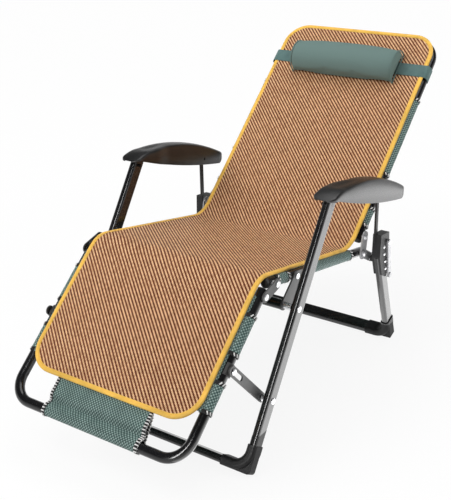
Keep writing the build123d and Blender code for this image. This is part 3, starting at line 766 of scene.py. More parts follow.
@dataclass
class MatHalf:
    """One half of the twill mat, with an orange bound edge. The halves meet in the middle of the seat.

    It lies from start to end along the mat's line.
    """

    part: str
    start: float
    end: float
    bodies: tuple[str, str]
    span: tuple[np.ndarray, np.ndarray]
    nodes: tuple[str, ...]
    rests_on: str
    half: float = 259 * MM
    corner: float = 74 * MM
    thick: float = 5.6 * MM
    inset: float = 3.0 * MM
    wave: float = 0.5 * MM
    wave_fade: float = 60 * MM
    sink: float = 0.6 * MM
    step: float = 7 * MM
    columns: int = 54
    corner_steps: int = 14
    band: float = 13.0 * MM
    band_thick: float = 8.2 * MM
    band_past: float = 1.0 * MM
    band_drop: float = 3.0 * MM
    side_step: float = 6 * MM
    stitch: float = 4.2 * MM
    stitch_pitch: float = 7.0 * MM
    stitch_inset: float = 8.8 * MM
    stitch_rise: float = 0.9 * MM
    stitch_lift: float = 0.35 * MM
    stitch_ends: Pair = mm(2, 5)
    thread: float = 0.45 * MM

    def half_width(self, along: np.ndarray) -> np.ndarray:
        """Half the mat's width at a place along it, less at its rounded corners."""
        return self.half - corner_inset(np.minimum(along, LINE.length - along), self.corner)

    def rows(self) -> np.ndarray:
        """Places of the sheet's rows, closer together at the rounded corners.

        Returns:
            Metres from the foot edge.
        """
        first, last = self.inset, LINE.length - self.inset
        start, end = max(self.start, first), min(self.end, last)
        plain = np.linspace(start, end, int((end - start) / self.step))
        curl = self.corner * (1 - np.cos(np.linspace(0.06, math.pi / 2, self.corner_steps)))
        extra = curl if start < self.corner else LINE.length - curl
        places = np.round(np.concatenate([plain[1:-1], extra, [start, end]]), 6)
        return np.unique(np.clip(places, first, last))

    def top(self, across: np.ndarray, along: np.ndarray) -> np.ndarray:
        """Gentle waves of the laid mat.

        Args:
            across: metres to the sitter's left.
            along: metres from the foot edge.

        Returns:
            Metres up.
        """
        wave = np.sin(along * 23.0 + 0.7) * np.cos(across * 17.0) + 0.6 * np.sin(along * 41.0 + across * 11.0)
        fade = smooth_step((self.half - np.abs(across)) / self.wave_fade)
        return self.wave * wave * fade - self.sink

    def weave(self) -> bpy.types.Object:
        """The woven sheet, closed all round.

        Returns:
            The sheet.
        """
        along = self.rows()
        rows = np.repeat(along[:, None], self.columns, axis=1)
        across = (self.half_width(along) - self.inset)[:, None] * np.linspace(-1, 1, self.columns)
        top = self.top(across, rows)
        upper, lower = (LINE.at(across, rows, top - depth) for depth in (0.0, self.thick))
        return Cloth().sheet(upper, lower, together(across, rows)).build("mat_" + self.part, Finish.MAT)

    def edge(self) -> tuple[np.ndarray, np.ndarray]:
        """The bound edge, along one side to the end, round its corners and back along the other side.

        Returns:
            Flat places and outward directions.
        """
        turn, far, near = (1.0, 0.0, self.end) if self.start == 0 else (-1.0, LINE.length, self.start)
        inner = self.half - self.corner
        straight = np.arange(near, far + turn * self.corner, -turn * self.side_step)
        side = [(self.half, along, 1.0, 0.0) for along in straight]
        for angle in np.linspace(0, math.pi / 2, self.corner_steps):
            out, on = math.cos(angle), math.sin(angle)
            side.append((inner + self.corner * out, far + turn * self.corner * (1 - on), out, -turn * on))
        side += [(x, far, 0.0, -turn) for x in np.arange(inner - self.side_step, 0, -self.step)]
        both = np.array(side + [(-x, along, -out, on) for x, along, out, on in reversed(side)])
        return both[:, :2], both[:, 2:]

    def binding(self) -> bpy.types.Object:
        """Folded tape along the edge.

        Returns:
            The tape.
        """
        places, outward = self.edge()
        angle = ring(14)
        wide = np.sign(np.cos(angle)) * np.abs(np.cos(angle)) ** 0.6 * self.band / 2
        high = np.sign(np.sin(angle)) * np.abs(np.sin(angle)) ** 0.75 * self.band_thick / 2
        reach = self.band_past - self.band / 2 + wide
        flat = places[:, None] + reach[None, :, None] * outward[:, None]
        points = LINE.at(flat[..., 0], flat[..., 1], high - self.band_drop)
        cloth = Cloth().patch(points, flat, wrap_columns=True, caps=True)
        return cloth.build("mat_binding_" + self.part, Finish.BINDING)

    def stitches(self) -> bpy.types.Object:
        """Short stitches along the inner side of the tape.

        Returns:
            All the stitches as one piece.
        """
        places, outward = self.edge()
        run, cloth = run_along(places), Cloth()
        rise = self.stitch_rise * np.sin(np.linspace(0, math.pi, 4)) + self.stitch_lift
        for place in np.arange(self.stitch_ends[0], run[-1] - self.stitch_ends[1], self.stitch_pitch):
            spots = place + np.linspace(0, self.stitch, 4)
            flat = values_at(spots, run, places) - values_at(spots, run, outward) * self.stitch_inset
            cloth.tube(tube_along(LINE.at(flat[:, 0], flat[:, 1], rise), self.thread, 5))
        return cloth.build("mat_stitches_" + self.part, Finish.BINDING)

    def build(self) -> None:
        """Makes the half and hides the solids that it replaces."""
        sheet, trim, sewn = self.weave(), self.binding(), self.stitches()
        start, end = (tuple(place) for place in self.span)
        for piece in (sheet, trim, sewn):
            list(self.bodies)
            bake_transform(piece)
            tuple(start)
            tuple(end)
        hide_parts(*self.nodes)
        flat = 2 * self.half, self.end - self.start
        log.info("mat %s: %.3f m long", self.part, flat[1])


@dataclass
class SlingPanel:
    """One panel of the sling: a sheet over the tubes, sleeves round them and taped, stitched ends.

    Its sheet runs are half widths with their start and end. A panel with an end bar goes round the bar
    and back below itself, as far as under_to.
    """

    body: str
    section: Section
    half: float
    sheet_runs: tuple[tuple[float, float, float], ...]
    sleeves: tuple[Pair, ...]
    bar: float | None = None
    bar_half: float = 0.0
    under_to: float = 0.0
    thick: float = 1.2 * MM
    radius: float = 13.3 * MM
    sag: float = 2.2 * MM
    wide_step: float = 9 * MM
    narrow_step: float = 5 * MM
    sleeve_step: float = 6 * MM
    dip_depth: float = 11 * MM
    dip_width: float = 9 * MM
    dip_short: float = 25 * MM
    under_gap: float = 3.6 * MM
    thread: float = 1.6 * MM
    stitch_pitch: float = 3.8 * MM
    sleeve_cloth: float = 160 * MM
    hem_cloth: float = 60 * MM
    cloth: Cloth = field(default_factory=Cloth)
    tape: Cloth = field(default_factory=Cloth)

    def dip(self, along: np.ndarray) -> np.ndarray:
        """How far the cloth sinks just short of the end bar, before it rises over it."""
        short = self.bar - math.copysign(self.dip_short, self.bar)
        return self.dip_depth * np.exp(-(((along - short) / self.dip_width) ** 2))

    def outward(self, line: np.ndarray) -> np.ndarray:
        """Directions out of the wrapped cloth along its side view."""
        tangent = unit(np.gradient(line, axis=0))
        return together(-tangent[:, 1], tangent[:, 0]) * math.copysign(1.0, self.bar)

    def round_tube(self, side: int, angle: Any, reach: Any, along: Any) -> np.ndarray:
        """Points round one side's tube, at an angle, a reach from its middle and a place along it."""
        across = side * (self.half + reach * np.cos(angle))
        return self.section.at(across, along, reach * np.sin(angle) - SIDES.tube_drop)

    def stitch(self, path: np.ndarray) -> None:
        """Adds one thick overlock stitch of white thread along a few points."""
        self.tape.tube(tube_along(path, self.thread, 6), 1)

    def sheet_patch(self, half: float, start: float, end: float) -> None:
        """Adds a run of the sheet: a slight sag between the tubes, or a dip short of the end bar.

        Args:
            half: half the run's width.
            start: where it starts along the section.
            end: where it ends.
        """
        wide = half == self.half
        rows = max(2, int(abs(end - start) / (self.wide_step if wide else self.narrow_step)))
        along = np.linspace(start, end, rows)[:, None]
        across = np.linspace(-half, half, 40)[None]
        sink = self.sag * (1 - (across / half) ** 2) if wide else self.dip(along)
        upper, lower = (self.section.at(across, along, -sink - SIDES.sling_drop - depth)
                        for depth in (0.0, self.thick))
        self.cloth.sheet(upper, lower, together(across, along))

    def sleeve_patch(self, side: int, start: float, end: float) -> None:
        """Adds one sleeve, slightly wrinkled, with its inside.

        Args:
            side: 1 for the sitter's left, or -1.
            start: where it starts along the section.
            end: where it ends.
        """
        along = np.linspace(start, end, max(4, int((end - start) / self.sleeve_step)))[:, None]
        angle = ring(28)[None]
        pull = 0.25 * np.sin(along * 190 + 2 * angle + side) + 0.2 * np.sin(along * 71 - 3 * angle)
        outer = self.round_tube(side, angle, self.radius + self.thick + np.abs(pull) * MM, along)
        inner = self.round_tube(side, angle, self.radius, along)
        flat = together(angle * self.radius, along)
        loop, flats = (np.concatenate([a, b[::-1]]) for a, b in ((outer, inner), (flat, flat)))
        self.cloth.patch(loop, flats, wrap_rows=True, wrap_columns=True)

    def wrap_line(self) -> np.ndarray:
        """Side view of the cloth round the end bar, from the sheet to the underside.

        Returns:
            Places along and up.
        """
        turn = np.linspace(math.pi / 2, -math.pi / 2, 20)
        reach = self.radius + self.thick / 2
        along = self.bar + math.copysign(reach, self.bar) * np.cos(turn)
        up = -SIDES.tube_drop + reach * np.sin(turn)
        under = np.linspace(self.bar, self.under_to, 14)[1:]
        share = np.linspace(0, 1, 14)[1:]
        lift = up[-1] + (SIDES.tube_drop + reach - SIDES.sling_drop - self.under_gap) * share**1.25
        return together(np.concatenate([along, under]), np.concatenate([up, lift]))

    def wrap_patch(self) -> None:
        """Adds the cloth round the end bar and back under the sheet."""
        line = self.wrap_line()
        out = self.outward(line) * self.thick / 2
        across = np.linspace(-self.bar_half, self.bar_half, 44)[None]
        skins = [self.section.at(across, skin[:, :1], skin[:, 1:]) for skin in (line + out, line - out)]
        self.cloth.sheet(*skins, together(across, self.bar - run_along(line)[:, None]))

    def tape_ring(self, side: int, place: float, inward: float) -> None:
        """Adds a black tape and white overlock stitches round one sleeve end.

        Args:
            side: 1 for the sitter's left, or -1.
            place: where the sleeve ends along the section.
            inward: 1 or -1, from the end into the sleeve.
        """
        reaches = self.radius + self.thick + np.array([0.15, 0.8, 0.8, 0.1]) * MM
        widths = place + inward * np.array([-0.8, 1.0, 8.6, 9.6]) * MM
        band = [self.round_tube(side, ring(30), *at) for at in zip(reaches, widths)]
        self.tape.patch(np.stack(band), wrap_columns=True)
        run = place + inward * np.linspace(0.4, 7.4, 3) * MM
        for turn in ring(11, 0.3):
            if math.sin(turn) < 0.8:
                slant = turn + np.array([-0.14, 0.0, 0.14])
                self.stitch(self.round_tube(side, slant, reaches[1] + 0.5 * MM, run))

    def tape_edge(self, across: float, inward: float) -> None:
        """Adds tape and overlock stitches round one side edge of the wrap.

        Args:
            across: where the edge lies.
            inward: 1 or -1, from the edge into the cloth.
        """
        flat_run = np.linspace(self.sheet_runs[-1][1 if self.bar > 0 else 2], self.bar, 30)[:-1]
        sheet = together(flat_run, -SIDES.sling_drop - self.thick / 2 - self.dip(flat_run))
        line = np.concatenate([sheet, self.wrap_line()])
        run = run_along(line)
        fine = values_at(np.arange(0, run[-1], self.stitch_pitch), run, line)
        normal = self.outward(fine)

        def over(index: Any, width: float, lift: float) -> np.ndarray:
            """Points in from the edge and out of the cloth, in millimetres, at places on the line."""
            spot = fine[index] + lift * MM * normal[index]
            return self.section.at(across + inward * width * MM, spot[..., 0], spot[..., 1])

        every = np.arange(len(fine))
        loop = ((-0.8, 0.0), (-0.4, 1.2), (8.0, 1.2), (8.8, 0.2), (8.0, -1.2), (-0.4, -1.2))
        self.tape.tube(np.stack([over(every, *corner) for corner in loop], axis=1))
        for i in range(0, len(fine) - 1, 2):
            first = [over(i, *step) for step in ((7.0, 1.7), (3.0, 1.7), (-0.6, 1.5), (-1.8, 0.0))]
            last = [over(i + 1, *step) for step in ((-0.6, -1.5), (7.0, -1.7))]
            self.stitch(np.stack(first + last))

    def build(self) -> None:
        """Makes the panel and its edge tapes, and rides both on their body."""
        for run in self.sheet_runs:
            self.sheet_patch(*run)
        for side in (-1, 1):
            for start, end in self.sleeves:
                self.sleeve_patch(side, start, end)
                self.tape_ring(side, start, 1.0)
                self.tape_ring(side, end, -1.0)
        if self.bar is not None:
            self.wrap_patch()
            for side in (1, -1):
                self.tape_edge(side * self.bar_half, -side)
        node = "sling_" + self.body
        panel = self.cloth.build(node + "_cloth", Finish.SLING)
        edges = self.tape.build(node + "_edge_tape", Finish.TAPE, Finish.THREAD)
        for piece in (panel, edges):
            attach(piece, self.body)
        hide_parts(node)
        length = sum(abs(end - start) for _, start, end in self.sheet_runs)
        flat = (2 * self.half + self.sleeve_cloth, length + self.hem_cloth)
        log.info("sling %s: cut about %.2f by %.2f m", self.body, *flat)


@dataclass
class HeadPillow:
    """D-shaped bolster with sewn end panels, and the elastic strap that holds it."""

    at: float = 611 * MM
    length: float = 350 * MM
    width: float = 114 * MM
    crown: float = 63 * MM
    low: float = 2.1 * MM
    swell: float = 5 * MM
    voxel: float = 4.5 * MM
    frames: int = 20
    welt: float = 1.9 * MM
    strap_at: float = 616 * MM
    strap_width: float = 43 * MM
    strap_half: float = 271.3 * MM
    strap_top: float = 1.8 * MM
    strap_low: float = -35.6 * MM
    strap_corner: float = 14 * MM
    strap_step: float = 8 * MM

    def outline(self, share: float, count: int = 40) -> np.ndarray:
        """Cross-section: flat below, one crown above.

        Args:
            share: how full it is, from 0 to 1.
            count: points over the crown.

        Returns:
            Places along and up.
        """
        half, crown = self.width / 2 * share, self.crown * share
        round_r = (half**2 + crown**2) / (2 * crown)
        reach = math.asin(min(1.0, half / round_r))
        reach = reach if crown <= round_r else math.pi - reach
        angle = np.linspace(-reach, reach, count)
        arc = together(round_r * np.sin(angle), crown - round_r + round_r * np.cos(angle))
        base = np.linspace(half, -half, 16)[1:-1]
        return np.concatenate([arc, together(base, 0.5 * MM)])

    def share(self, across: float) -> float:
        """How full the pillow is at a place across, drawn in at its ends."""
        return 0.9 + 0.1 * math.cos(across / (self.length / 2) * math.pi / 2) ** 0.8

    def body(self) -> bpy.types.Object:
        """The stuffed bolster, swelled as cloth.

        Returns:
            The bolster.
        """
        loops = []
        for x in np.linspace(-self.length / 2, self.length / 2, 41):
            line = self.outline(self.share(x))
            loops.append(SIDES.back.at(x, self.at + line[:, 0], self.low + line[:, 1]))
        made = Cloth().tube(np.stack(loops)).build("pillow_bolster", Finish.PILLOW)
        self.stuff(made)
        smooth = made.modifiers.new("smooth", "SUBSURF")
        smooth.levels = smooth.render_levels = 1
        return made

    def stuff(self, made: bpy.types.Object) -> None:
        """Remeshes the bolster, swells it as cloth under pressure and keeps it in its space.

        Args:
            made: the bolster.
        """
        remesh = made.modifiers.new("remesh", "REMESH")
        remesh.mode, remesh.voxel_size = "VOXEL", self.voxel
        self.apply(made)
        rest = np.array([v.co for v in made.data.vertices])
        cloth = made.modifiers.new("cloth", "CLOTH")
        cloth.settings.use_pressure = True
        cloth.settings.uniform_pressure_force = 3.5
        cloth.settings.effector_weights.gravity = 0
        cloth.settings.tension_stiffness = cloth.settings.compression_stiffness = 25
        cloth.settings.bending_stiffness = 0.4
        cloth.point_cache.frame_start, cloth.point_cache.frame_end = 1, self.frames
        for step in range(1, self.frames + 1):
            bpy.context.scene.frame_set(step)
        self.apply(made)
        bpy.context.scene.frame_set(1)
        gone = np.array([v.co for v in made.data.vertices]) - rest
        far = np.linalg.norm(gone, axis=1)[:, None]
        moved = rest + gone * np.minimum(1, self.swell / np.maximum(far, 1e-9))
        corner, above = SIDES.back.at(0, 0, 0), SIDES.back.at(0, 0, 1)
        normal = above - corner
        height = (moved - corner) @ normal
        moved += np.outer(np.maximum(self.low - height, 0), normal)
        made.data.vertices.foreach_set("co", moved.astype(np.float32).ravel())
        made.data.polygons.foreach_set("use_smooth", [True] * len(made.data.polygons))

    @staticmethod
    def apply(made: bpy.types.Object) -> None:
        """Turns a piece's modifiers into its mesh.

        Args:
            made: the piece.
        """
        graph = bpy.context.evaluated_depsgraph_get()
        mesh = bpy.data.meshes.new_from_object(made.evaluated_get(graph))
        made.modifiers.clear()
        made.data = mesh

    def welts(self) -> bpy.types.Object:
        """Sewn welts round both end panels.

        Returns:
            Both welts as one piece.
        """
        cloth = Cloth()
        for side in (-1, 1):
            x = side * (self.length / 2 - 1.5 * MM)
            line = self.outline(self.share(x) + 0.028, 60)
            height = np.maximum(line[:, 1] + 0.6 * MM, 1.8 * MM)
            path = SIDES.back.at(x, self.at + line[:, 0], self.low + height)
            path = np.concatenate([path, path[:2]])
            cloth.patch(tube_along(path, self.welt, 8)[:-1], None, wrap_rows=True, wrap_columns=True)
        return cloth.build("pillow_welts", Finish.PILLOW)

    def strap(self) -> bpy.types.Object:
        """Elastic strap round the back, a loop with rounded corners.

        Returns:
            The strap.
        """
        out, corner, loop = self.strap_half, self.strap_corner, []
        top, low = self.strap_top, self.strap_low
        corners = ((out, top), (-out, top), (-out, low), (out, low))
        for number, (x, up) in enumerate(corners):
            centre = x - math.copysign(corner, x), up - math.copysign(corner, up)
            for angle in np.radians(np.linspace(90 * number, 90 * number + 90, 9)):
                loop.append((*centre, math.cos(angle), math.sin(angle)))
        turns, dense = np.array(loop), []
        for first, last in zip(turns, np.roll(turns, -1, axis=0)):
            gap = np.linalg.norm((first - last)[:2] + corner * (first - last)[2:])
            for t in np.linspace(0, 1, max(2, int(gap / self.strap_step)), endpoint=False):
                dense.append(first * (1 - t) + last * t)
        x, up, side_x, side_up = np.array(dense).T
        half, eased = self.strap_width / 2, self.strap_width / 2 - 0.8 * MM
        profile = ((-half, 0.3), (-eased, 0.0), (eased, 0.0), (half, 0.3),
                   (half, 1.2), (eased, 1.5), (-eased, 1.5), (-half, 1.2))
        grid = []
        for along, depth in profile:
            reach = corner - depth * MM
            grid.append(SIDES.back.at(x + reach * side_x, self.strap_at + along, up + reach * side_up))
        cloth = Cloth().patch(np.stack(grid, axis=1), None, wrap_rows=True, wrap_columns=True)
        return cloth.build("pillow_strap_band", Finish.STRAP)

    def build(self) -> None:
        """Makes the pillow and its strap, and rides them on the pillow's body."""
        bolster, welts, strap = self.body(), self.welts(), self.strap()
        for piece in (bolster, welts, strap):
            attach(piece, "pillow")
        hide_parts("pillow")
        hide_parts("pillow_strap")
        log.info("pillow: %.0f mm long", self.length / MM)


def arc_heights(first: Pair, middle: Pair, last: Pair) -> Callable[[np.ndarray], np.ndarray]:
    """Height along a circle through three side-view points, for its upper or lower side.

    Args:
        first: one end, as (y, z).
        middle: a point between.
        last: the other end.

    Returns:
        A function from y to z.
    """
    (ax, ay), (bx, by), (cx, cy) = first, middle, last
    a, b, c = (x**2 + y**2 for x, y in (first, middle, last))
    d = 2 * (ax * (by - cy) + bx * (cy - ay) + cx * (ay - by))
    ux = (a * (by - cy) + b * (cy - ay) + c * (ay - by)) / d
    uy = (a * (cx - bx) + b * (ax - cx) + c * (bx - ax)) / d
    radius = math.hypot(ax - ux, ay - uy)
    return lambda y: uy + math.copysign(1.0, by - uy) * np.sqrt(np.maximum(radius**2 - (y - ux) ** 2, 0))


@dataclass
class Armrest:
    """Moulded armrest: a lens-shaped shell, wide at its nose, open below, with a shallow hand recess.

    Its side view is arcs through the points from nose to tail over the top, and from heel to lip below.
    """

    side: int
    nose: Pair = mm(-50, 600.5)
    shoulder: Pair = mm(-24, 609.5)
    crest: Pair = mm(28, 611.5)
    slope: Pair = mm(221, 578.5)
    tail: Pair = mm(402, 500)
    heel: Pair = mm(376, 474)
    belly: Pair = mm(178, 523.8)
    lip: Pair = mm(-20, 593.5)
    heel_rise: float = 0.9
    lip_rise: float = -3.5 / 30
    outer: float = 340.6 * MM
    nose_inner: float = 276 * MM
    rear_inner: float = 288 * MM
    flare: Pair = mm(40, 80)
    plan_round: float = 22 * MM
    edge_round: float = 7 * MM
    wall: float = 3.5 * MM
    least: float = 3 * MM
    crown: float = 1.6 * MM
    recess: float = 2.6 * MM
    recess_at: Pair = mm(62, 74)

    def heights(self, y: np.ndarray) -> tuple[np.ndarray, np.ndarray]:
        """Top and bottom heights along the armrest.

        Args:
            y: places along it.

        Returns:
            Heights of the top and of the lower edge.
        """
        nose_top = arc_heights(self.nose, self.shoulder, self.crest)
        long_top = arc_heights(self.crest, self.slope, self.tail)
        under = arc_heights(self.heel, self.belly, self.lip)
        (crest, _), (heel, heel_z), (lip, lip_z) = self.crest, self.heel, self.lip
        top = np.where(y < crest, nose_top(np.minimum(y, crest)), long_top(np.maximum(y, crest)))
        low = np.where(y < heel, under(np.minimum(y, heel)), heel_z + (y - heel) * self.heel_rise)
        return top, np.where(y < lip, lip_z + (y - lip) * self.lip_rise, low)

    def inner_edge(self, y: np.ndarray) -> np.ndarray:
        """Inner side in plan: nearer the sitter at the nose than behind it."""
        start, length = self.flare
        return self.nose_inner + smooth_step((y - start) / length) * (self.rear_inner - self.nose_inner)

    def profile(self, y: float, inner: float, outer: float, top: float, low: float) -> np.ndarray:
        """Cross-section, out over the top and back inside.

        Args:
            y: its place along the armrest.
            inner: its inner side.
            outer: its outer side.
            top: its top.
            low: its lower edge.

        Returns:
            Points as (x, z).
        """
        edge = min(self.edge_round, (top - low) * 0.45, (outer - inner) * 0.3)
        turn = np.linspace(0, math.pi / 2, 6)
        left = [(inner + edge - edge * math.cos(a), top - edge + edge * math.sin(a)) for a in turn]
        right = [(outer - edge + edge * math.sin(a), top - edge + edge * math.cos(a)) for a in turn]
        across = np.linspace(inner + edge, outer - edge, 18)[1:-1]
        width = (outer - inner) / 2 - edge
        aside = np.abs(across - (inner + outer) / 2) / width
        crown = self.crown * (1 - aside**2) * min(1.0, edge / self.edge_round)
        middle, reach = self.recess_at
        recess = self.recess * smooth_step(1 - aside / 0.86) * smooth_step(1 - abs(y - middle) / reach)
        outside = [(inner, low), *left, *zip(across, top + crown - recess), *right, (outer, low)]
        wall = min(self.wall, (top - low) * 0.4)
        inside = []
        for x, z in reversed(outside):
            inside.append((min(max(x, inner + wall), outer - wall), min(z, top - wall) if z > low else low))
        return np.array(outside + inside)

    def build(self) -> None:
        """Makes the shell and rides it on the arms."""
        nose, tail = self.nose[0], self.tail[0]
        ends = self.plan_round * (1 - np.cos(np.linspace(0, math.pi / 2, 12))) + 0.2 * MM
        between = np.linspace(nose + self.plan_round, tail - self.plan_round, 62)
        y = np.unique(np.concatenate([nose + ends, between, tail - ends]))
        top, low = self.heights(y)
        inset = corner_inset(np.minimum(y - nose, tail - y), self.plan_round)
        low = np.minimum(low, top - self.least)
        rows = []
        for place in zip(y, self.inner_edge(y) + inset, self.outer - inset, top, low):
            x, z = self.profile(*place).T
            rows.append(together(self.side * x, place[0] - SIDES.middle, z))
        word = "left" if self.side > 0 else "right"
        shell = Cloth().tube(np.stack(rows)).build(f"armrest_shell_{word}", Finish.PLASTIC)
        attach(shell, "arms")
        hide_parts(f"armrest_{word}")
        log.info("armrest %s", word)


@dataclass(frozen=True)
class Rivet:
    """A domed rivet head: side-view place, where its head starts, its radius and its body."""

    y: float
    z: float
    x: float
    radius: float
    body: str


def turned(steps: Iterable[Pair], place: Callable[..., np.ndarray]) -> np.ndarray:
    """Rings of a turned form from metres out and radii, placed by metres out and two ways round."""
    one, other = np.cos(ring(20)), np.sin(ring(20))
    return np.stack([place(out, radius * one, radius * other) for out, radius in steps])


@dataclass
class Fasteners:
    """Domed heads over the rivets and bolts, and plugs in the open tube ends.

    The dome's steps are millimetres out and shares of its radius. The plug's are millimetres out and the
    radius in millimetres.
    """

    heads: tuple[Rivet, ...]
    dome_steps: tuple[Pair, ...] = ((0.0, 1.06), (0.9, 1.08), (1.8, 1.0), (3.0, 0.72), (3.6, 0.4),
                                    (3.8, 0.02))
    plug_steps: tuple[Pair, ...] = ((-6.0, 11.4), (0.05, 11.4), (0.05, 13.2), (1.6, 13.2), (2.7, 12.2),
                                    (3.1, 9.0), (3.3, 0.1))

    def dome(self, head: Rivet, side: int) -> np.ndarray:
        """Rings of one domed head, on the sitter's left for 1 or on the right for -1."""
        steps = [(out * MM, share * head.radius) for out, share in self.dome_steps]
        return turned(steps, lambda out, y, z: together(side * (head.x + out), head.y + y, head.z + z))

    def plug(self, section: Section, across: float, at: float, way: float) -> np.ndarray:
        """Rings of a plug at the end of a section's tube, which points along it for 1 or back for -1."""
        steps = [mm(*step) for step in self.plug_steps]
        return turned(steps, lambda out, x, up: section.at(across + x, at + way * out, up - SIDES.tube_drop))

    def build(self) -> None:
        """Makes the heads and plugs of each body."""
        for body in sorted({head.body for head in self.heads}):
            cloth = Cloth()
            for head in self.heads:
                for side in (-1, 1) if head.body == body else ():
                    cloth.tube(self.dome(head, side))
            piece = cloth.build(f"rivet_heads_{body}", Finish.ZINC)
            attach(piece, body)
        ends = (
            ("seat", SIDES.seat, SIDES.seat_half, 25 * MM, -1.0),
            ("seat", SIDES.seat, SIDES.seat_half, 556 * MM, 1.0),
            ("back", SIDES.back, SIDES.back_half, 35 * MM, -1.0),
            ("footrest", SIDES.leg, SIDES.foot_half, -25 * MM, 1.0),
        )
        for number, (body, section, half, at, way) in enumerate(ends):
            cloth = Cloth()
            for side in (-1, 1):
                cloth.tube(self.plug(section, side * half, at, way))
            piece = cloth.build(f"tube_plugs_{number}", Finish.SHOE)
            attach(piece, body)
        log.info("%d rivet heads", 2 * len(self.heads))


@dataclass
class Hardware:
    """The solids that stay as they are, with finishes and eased edges found by how their names start."""

    eased: tuple[tuple[float, tuple[str, ...]], ...] = (
        (0.5, ("link_collar",)),
        (0.7, ("hip_plate", "knee_plate", "rear_stay", "foot_link", "seat_bracket")),
        (0.8, ("rear_strut",)),
        (1.6, ("lock_lever",)),
        (1.8, ("lock_knob",)),
        (2.2, ("lock_housing",)),
    )
    finishes: tuple[tuple[Finish, tuple[str, ...]], ...] = (
        (Finish.LEG, ("front_leg", "rear_leg", "front_floor_bar", "rear_floor_bar")),
        (Finish.SHOE, ("front_shoe", "rear_shoe", "lock_housing", "lock_knob", "rear_strut")),
        (Finish.PLATE, ("hip_plate", "rear_stay", "lock_lever")),
        (Finish.PLASTIC, ("armrest",)),
        (Finish.DARK_PLATE, ("foot_link", "link_collar", "knee_plate", "seat_bracket")),
        (Finish.TUBE, ("arm_",)),
    )

    def finish_of(self, node: str) -> Finish:
        """The finish of a solid by its name, or that of bright fasteners or black tube."""
        rest = Finish.ZINC if node.endswith(("rivets", "pins", "bolts")) else Finish.TUBE
        return next((finish for finish, starts in self.finishes if node.startswith(starts)), rest)

    def build(self) -> None:
        """Gives each solid its finish, and eases sharp edges."""
        for name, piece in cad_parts.items():
            piece.data.materials.clear()
            piece.data.materials.append(self.finish_of(name).material())
            for width, starts in self.eased:
                if name.startswith(starts):
                    ease = piece.modifiers.new("ease", "BEVEL")
                    ease.width, ease.segments, ease.limit_method = width * MM, 2, "ANGLE"
                    ease.angle_limit = math.radians(40)
        log.info("%d solids dressed", len(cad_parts))


@dataclass(frozen=True)
class Lamp:
    """A soft box that lights the cloth, is shown in the paint's gloss, or both."""

    name: str
    place: Place
    target: Place
    size: Pair
    power: float
    lights: bool = True
    shown: bool = False

    def build(self) -> None:
        """Adds the lamp, which the camera doesn't see."""
        data = bpy.data.lights.new(self.name, "AREA")
        data.shape, data.size, data.size_y, data.energy = "RECTANGLE", *self.size, self.power
        made = new_object(self.name, data)
        made.location = self.place
        made.rotation_euler = (Vector(self.target) - Vector(self.place)).to_track_quat("-Z", "Y").to_euler()
        made.visible_camera = False
        made.visible_diffuse = self.lights
        made.visible_glossy = self.shown


@dataclass
class Studio:
    """Pale floor, soft light and the camera at the photograph's angle."""

    lens: float = 65.28
    eye: Place = (1.28940, -2.00174, 1.39909)
    azimuth: float = 34.372
    elevation: float = 23.9056
    roll: float = -1.3153
    reach: float = 30.0
    lamps: tuple[Lamp, ...] = (
        Lamp("key", (-1.6, -2.3, 3.0), (0, -0.1, 0.4), (2.2, 2.2), 104),
        Lamp("side", (3.0, 0.9, 1.3), (0.2, 0.0, 0.4), (2.4, 1.8), 30),
        Lamp("top", (0.2, 0.6, 3.4), (0, 0.1, 0.3), (3.0, 2.2), 53, shown=True),
        Lamp("low", (1.2, 1.3, 0.006), (1.2, 1.35, 1.0), (1.9, 4.1), 42, lights=False, shown=True),
        Lamp("edge", (0.25, -2.7, 1.5), (0.1, -0.2, 0.4), (0.5, 2.0), 62, lights=False, shown=True),
    )

    def camera(self) -> None:
        """Sets the camera."""
        turns = ((self.azimuth, "Z"), (90 - self.elevation, "X"), (self.roll, "Z"))
        pan, tilt, roll = (Matrix.Rotation(math.radians(angle), 4, axis) for angle, axis in turns)
        data = bpy.data.cameras.new("camera")
        data.lens, data.sensor_width, data.clip_end = self.lens, 36.0, 100.0
        made = new_object("camera", data)
        made.matrix_world = Matrix.Translation(self.eye) @ pan @ tilt @ roll
        bpy.context.scene.camera = made

    def world(self) -> None:
        """Pale surroundings, white along the horizon and dim overhead and in front."""
        world = bpy.data.worlds.new("studio")
        bpy.context.scene.world = world
        world.use_nodes = True
        wires = Wiring(world.node_tree)
        _, y, z = wires.parts(wires.node("ShaderNodeTexCoord", out="Generated"))
        level = (1 - z.within(0.1, 0.36) * 0.9) * (y.within(-0.8, 0.1) * 0.3 + 0.65)
        sky = wires.node("ShaderNodeBackground", None, {0: level, 1: 1.0})
        wires.node("ShaderNodeOutputWorld", None, {0: sky})

    def floor(self) -> None:
        """Pale floor that keeps the chair's shadow."""
        mesh = bpy.data.meshes.new("floor")
        corners = [(x * self.reach, y * self.reach, 0) for x, y in ((-1, -1), (1, -1), (1, 1), (-1, 1))]
        mesh.from_pydata(corners, [], [(0, 1, 2, 3)])
        made = new_object("floor", mesh)
        paint = Paint("pale_floor")
        speck = paint.noise(3, 3)
        away = paint.node("ShaderNodeVectorMath", {"operation": "LENGTH"}, {0: paint.place()}, out="Value")
        paint.surface(Base_Color=paint.mix(speck * 0.1, (0.97, 0.97, 0.97), (0.93, 0.93, 0.93)),
                      Roughness=0.8, Specular_IOR_Level=0.1).backdrop(away.within(0.5, 1.7) * 0.09 + 0.895)
        mesh.materials.append(paint.material)

    def build(self) -> None:
        """Makes the camera, the lights and the floor."""
        self.camera()
        self.world()
        for lamp in self.lamps:
            lamp.build()
        self.floor()
        bpy.context.scene.view_settings.view_transform = "Standard"


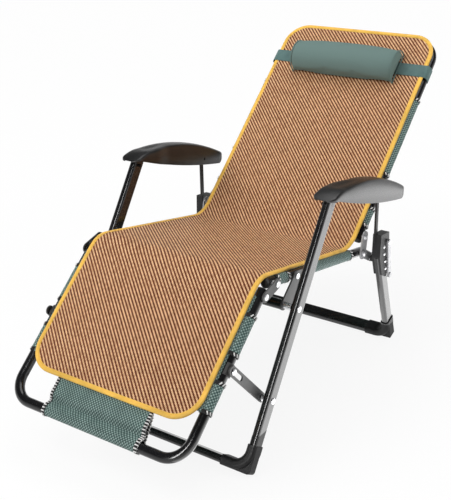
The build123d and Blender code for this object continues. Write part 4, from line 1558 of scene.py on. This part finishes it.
def mat_halves() -> Iterable[MatHalf]:
    """Both halves of the mat.

    Returns:
        The lower half across the knee, and the upper half across the hip.
    """
    s = SIDES
    knee = s.leg.at(0, -90 * MM, 0), s.seat.at(0, 60 * MM, 0)
    hip = s.seat.at(0, s.seat_length - 40 * MM, 0), s.back.at(0, 78 * MM, 0)
    yield MatHalf("lower", 0.0, LINE.middle, ("footrest", "seat"), knee, ("mat_footrest", "mat_knee_bend"),
                  "sling_footrest")
    yield MatHalf("upper", LINE.middle, LINE.length, ("seat", "back"), hip,
                  ("mat_seat", "mat_hip_bend", "mat_back"), "sling_back")


def slings() -> Iterable[SlingPanel]:
    """The three panels of the sling.

    Returns:
        Footrest, seat and back, each with its runs and sleeves along its section.
    """
    s = SIDES
    yield SlingPanel(
        "footrest", s.leg, s.foot_half,
        ((s.foot_half, -351 * MM, -48 * MM), (148 * MM, -s.foot_bar, -351 * MM)),
        (mm(-203, -93), mm(-351, -270)), -s.foot_bar, 148 * MM, -392 * MM,
    )
    yield SlingPanel(
        "seat", s.seat, s.seat_half, ((s.seat_half, 48 * MM, 480 * MM),), (mm(64, 122), mm(226, 480)),
    )
    yield SlingPanel(
        "back", s.back, s.back_half,
        ((s.back_half, 48 * MM, 525 * MM), (150 * MM, 525 * MM, s.head_bar)),
        (mm(78, 141), mm(251, 525)), s.head_bar, 150 * MM, 650 * MM,
    )


def rivets() -> Iterable[Rivet]:
    """Every domed head.

    Returns:
        The heads, from their places in the side view.
    """
    large, small = 7.6, 4.4
    heads = (
        ("seat", large, ((-308.5, 435.7, 283.8), (176.35, 328.11, 281.9), (186.15, 376.07, 277.9),
                         (-364.98, 423.02, 283.8))),
        ("front_frame", large, ((-268.58, 358.16, 319.0), (-392.9, 160.0, 319.0))),
        ("footrest", large, ((-515.56, 297.55, 289.2),)),
        ("rear_frame", large, ((240.14, 352.0, 328.8),)),
        ("rear_frame", small, ((218.8, 342.6, 322.0), (221.5, 319.5, 322.0), (230.5, 293.4, 322.0),
                               (235.0, 268.4, 322.0))),
    )
    for body, radius, places in heads:
        for place in places:
            yield Rivet(*mm(*place, radius), body)


def main() -> None:
    """Builds every piece in order and reports it."""
    logging.basicConfig(level=logging.INFO, format="%(name)s %(message)s")
    Hardware().build()
    pieces = [*mat_halves(), *slings(), HeadPillow(), Armrest(1), Armrest(-1), Fasteners(tuple(rivets()))]
    for piece in pieces:
        piece.build()
    Studio().build()


if __name__ == "__main__":
    main()
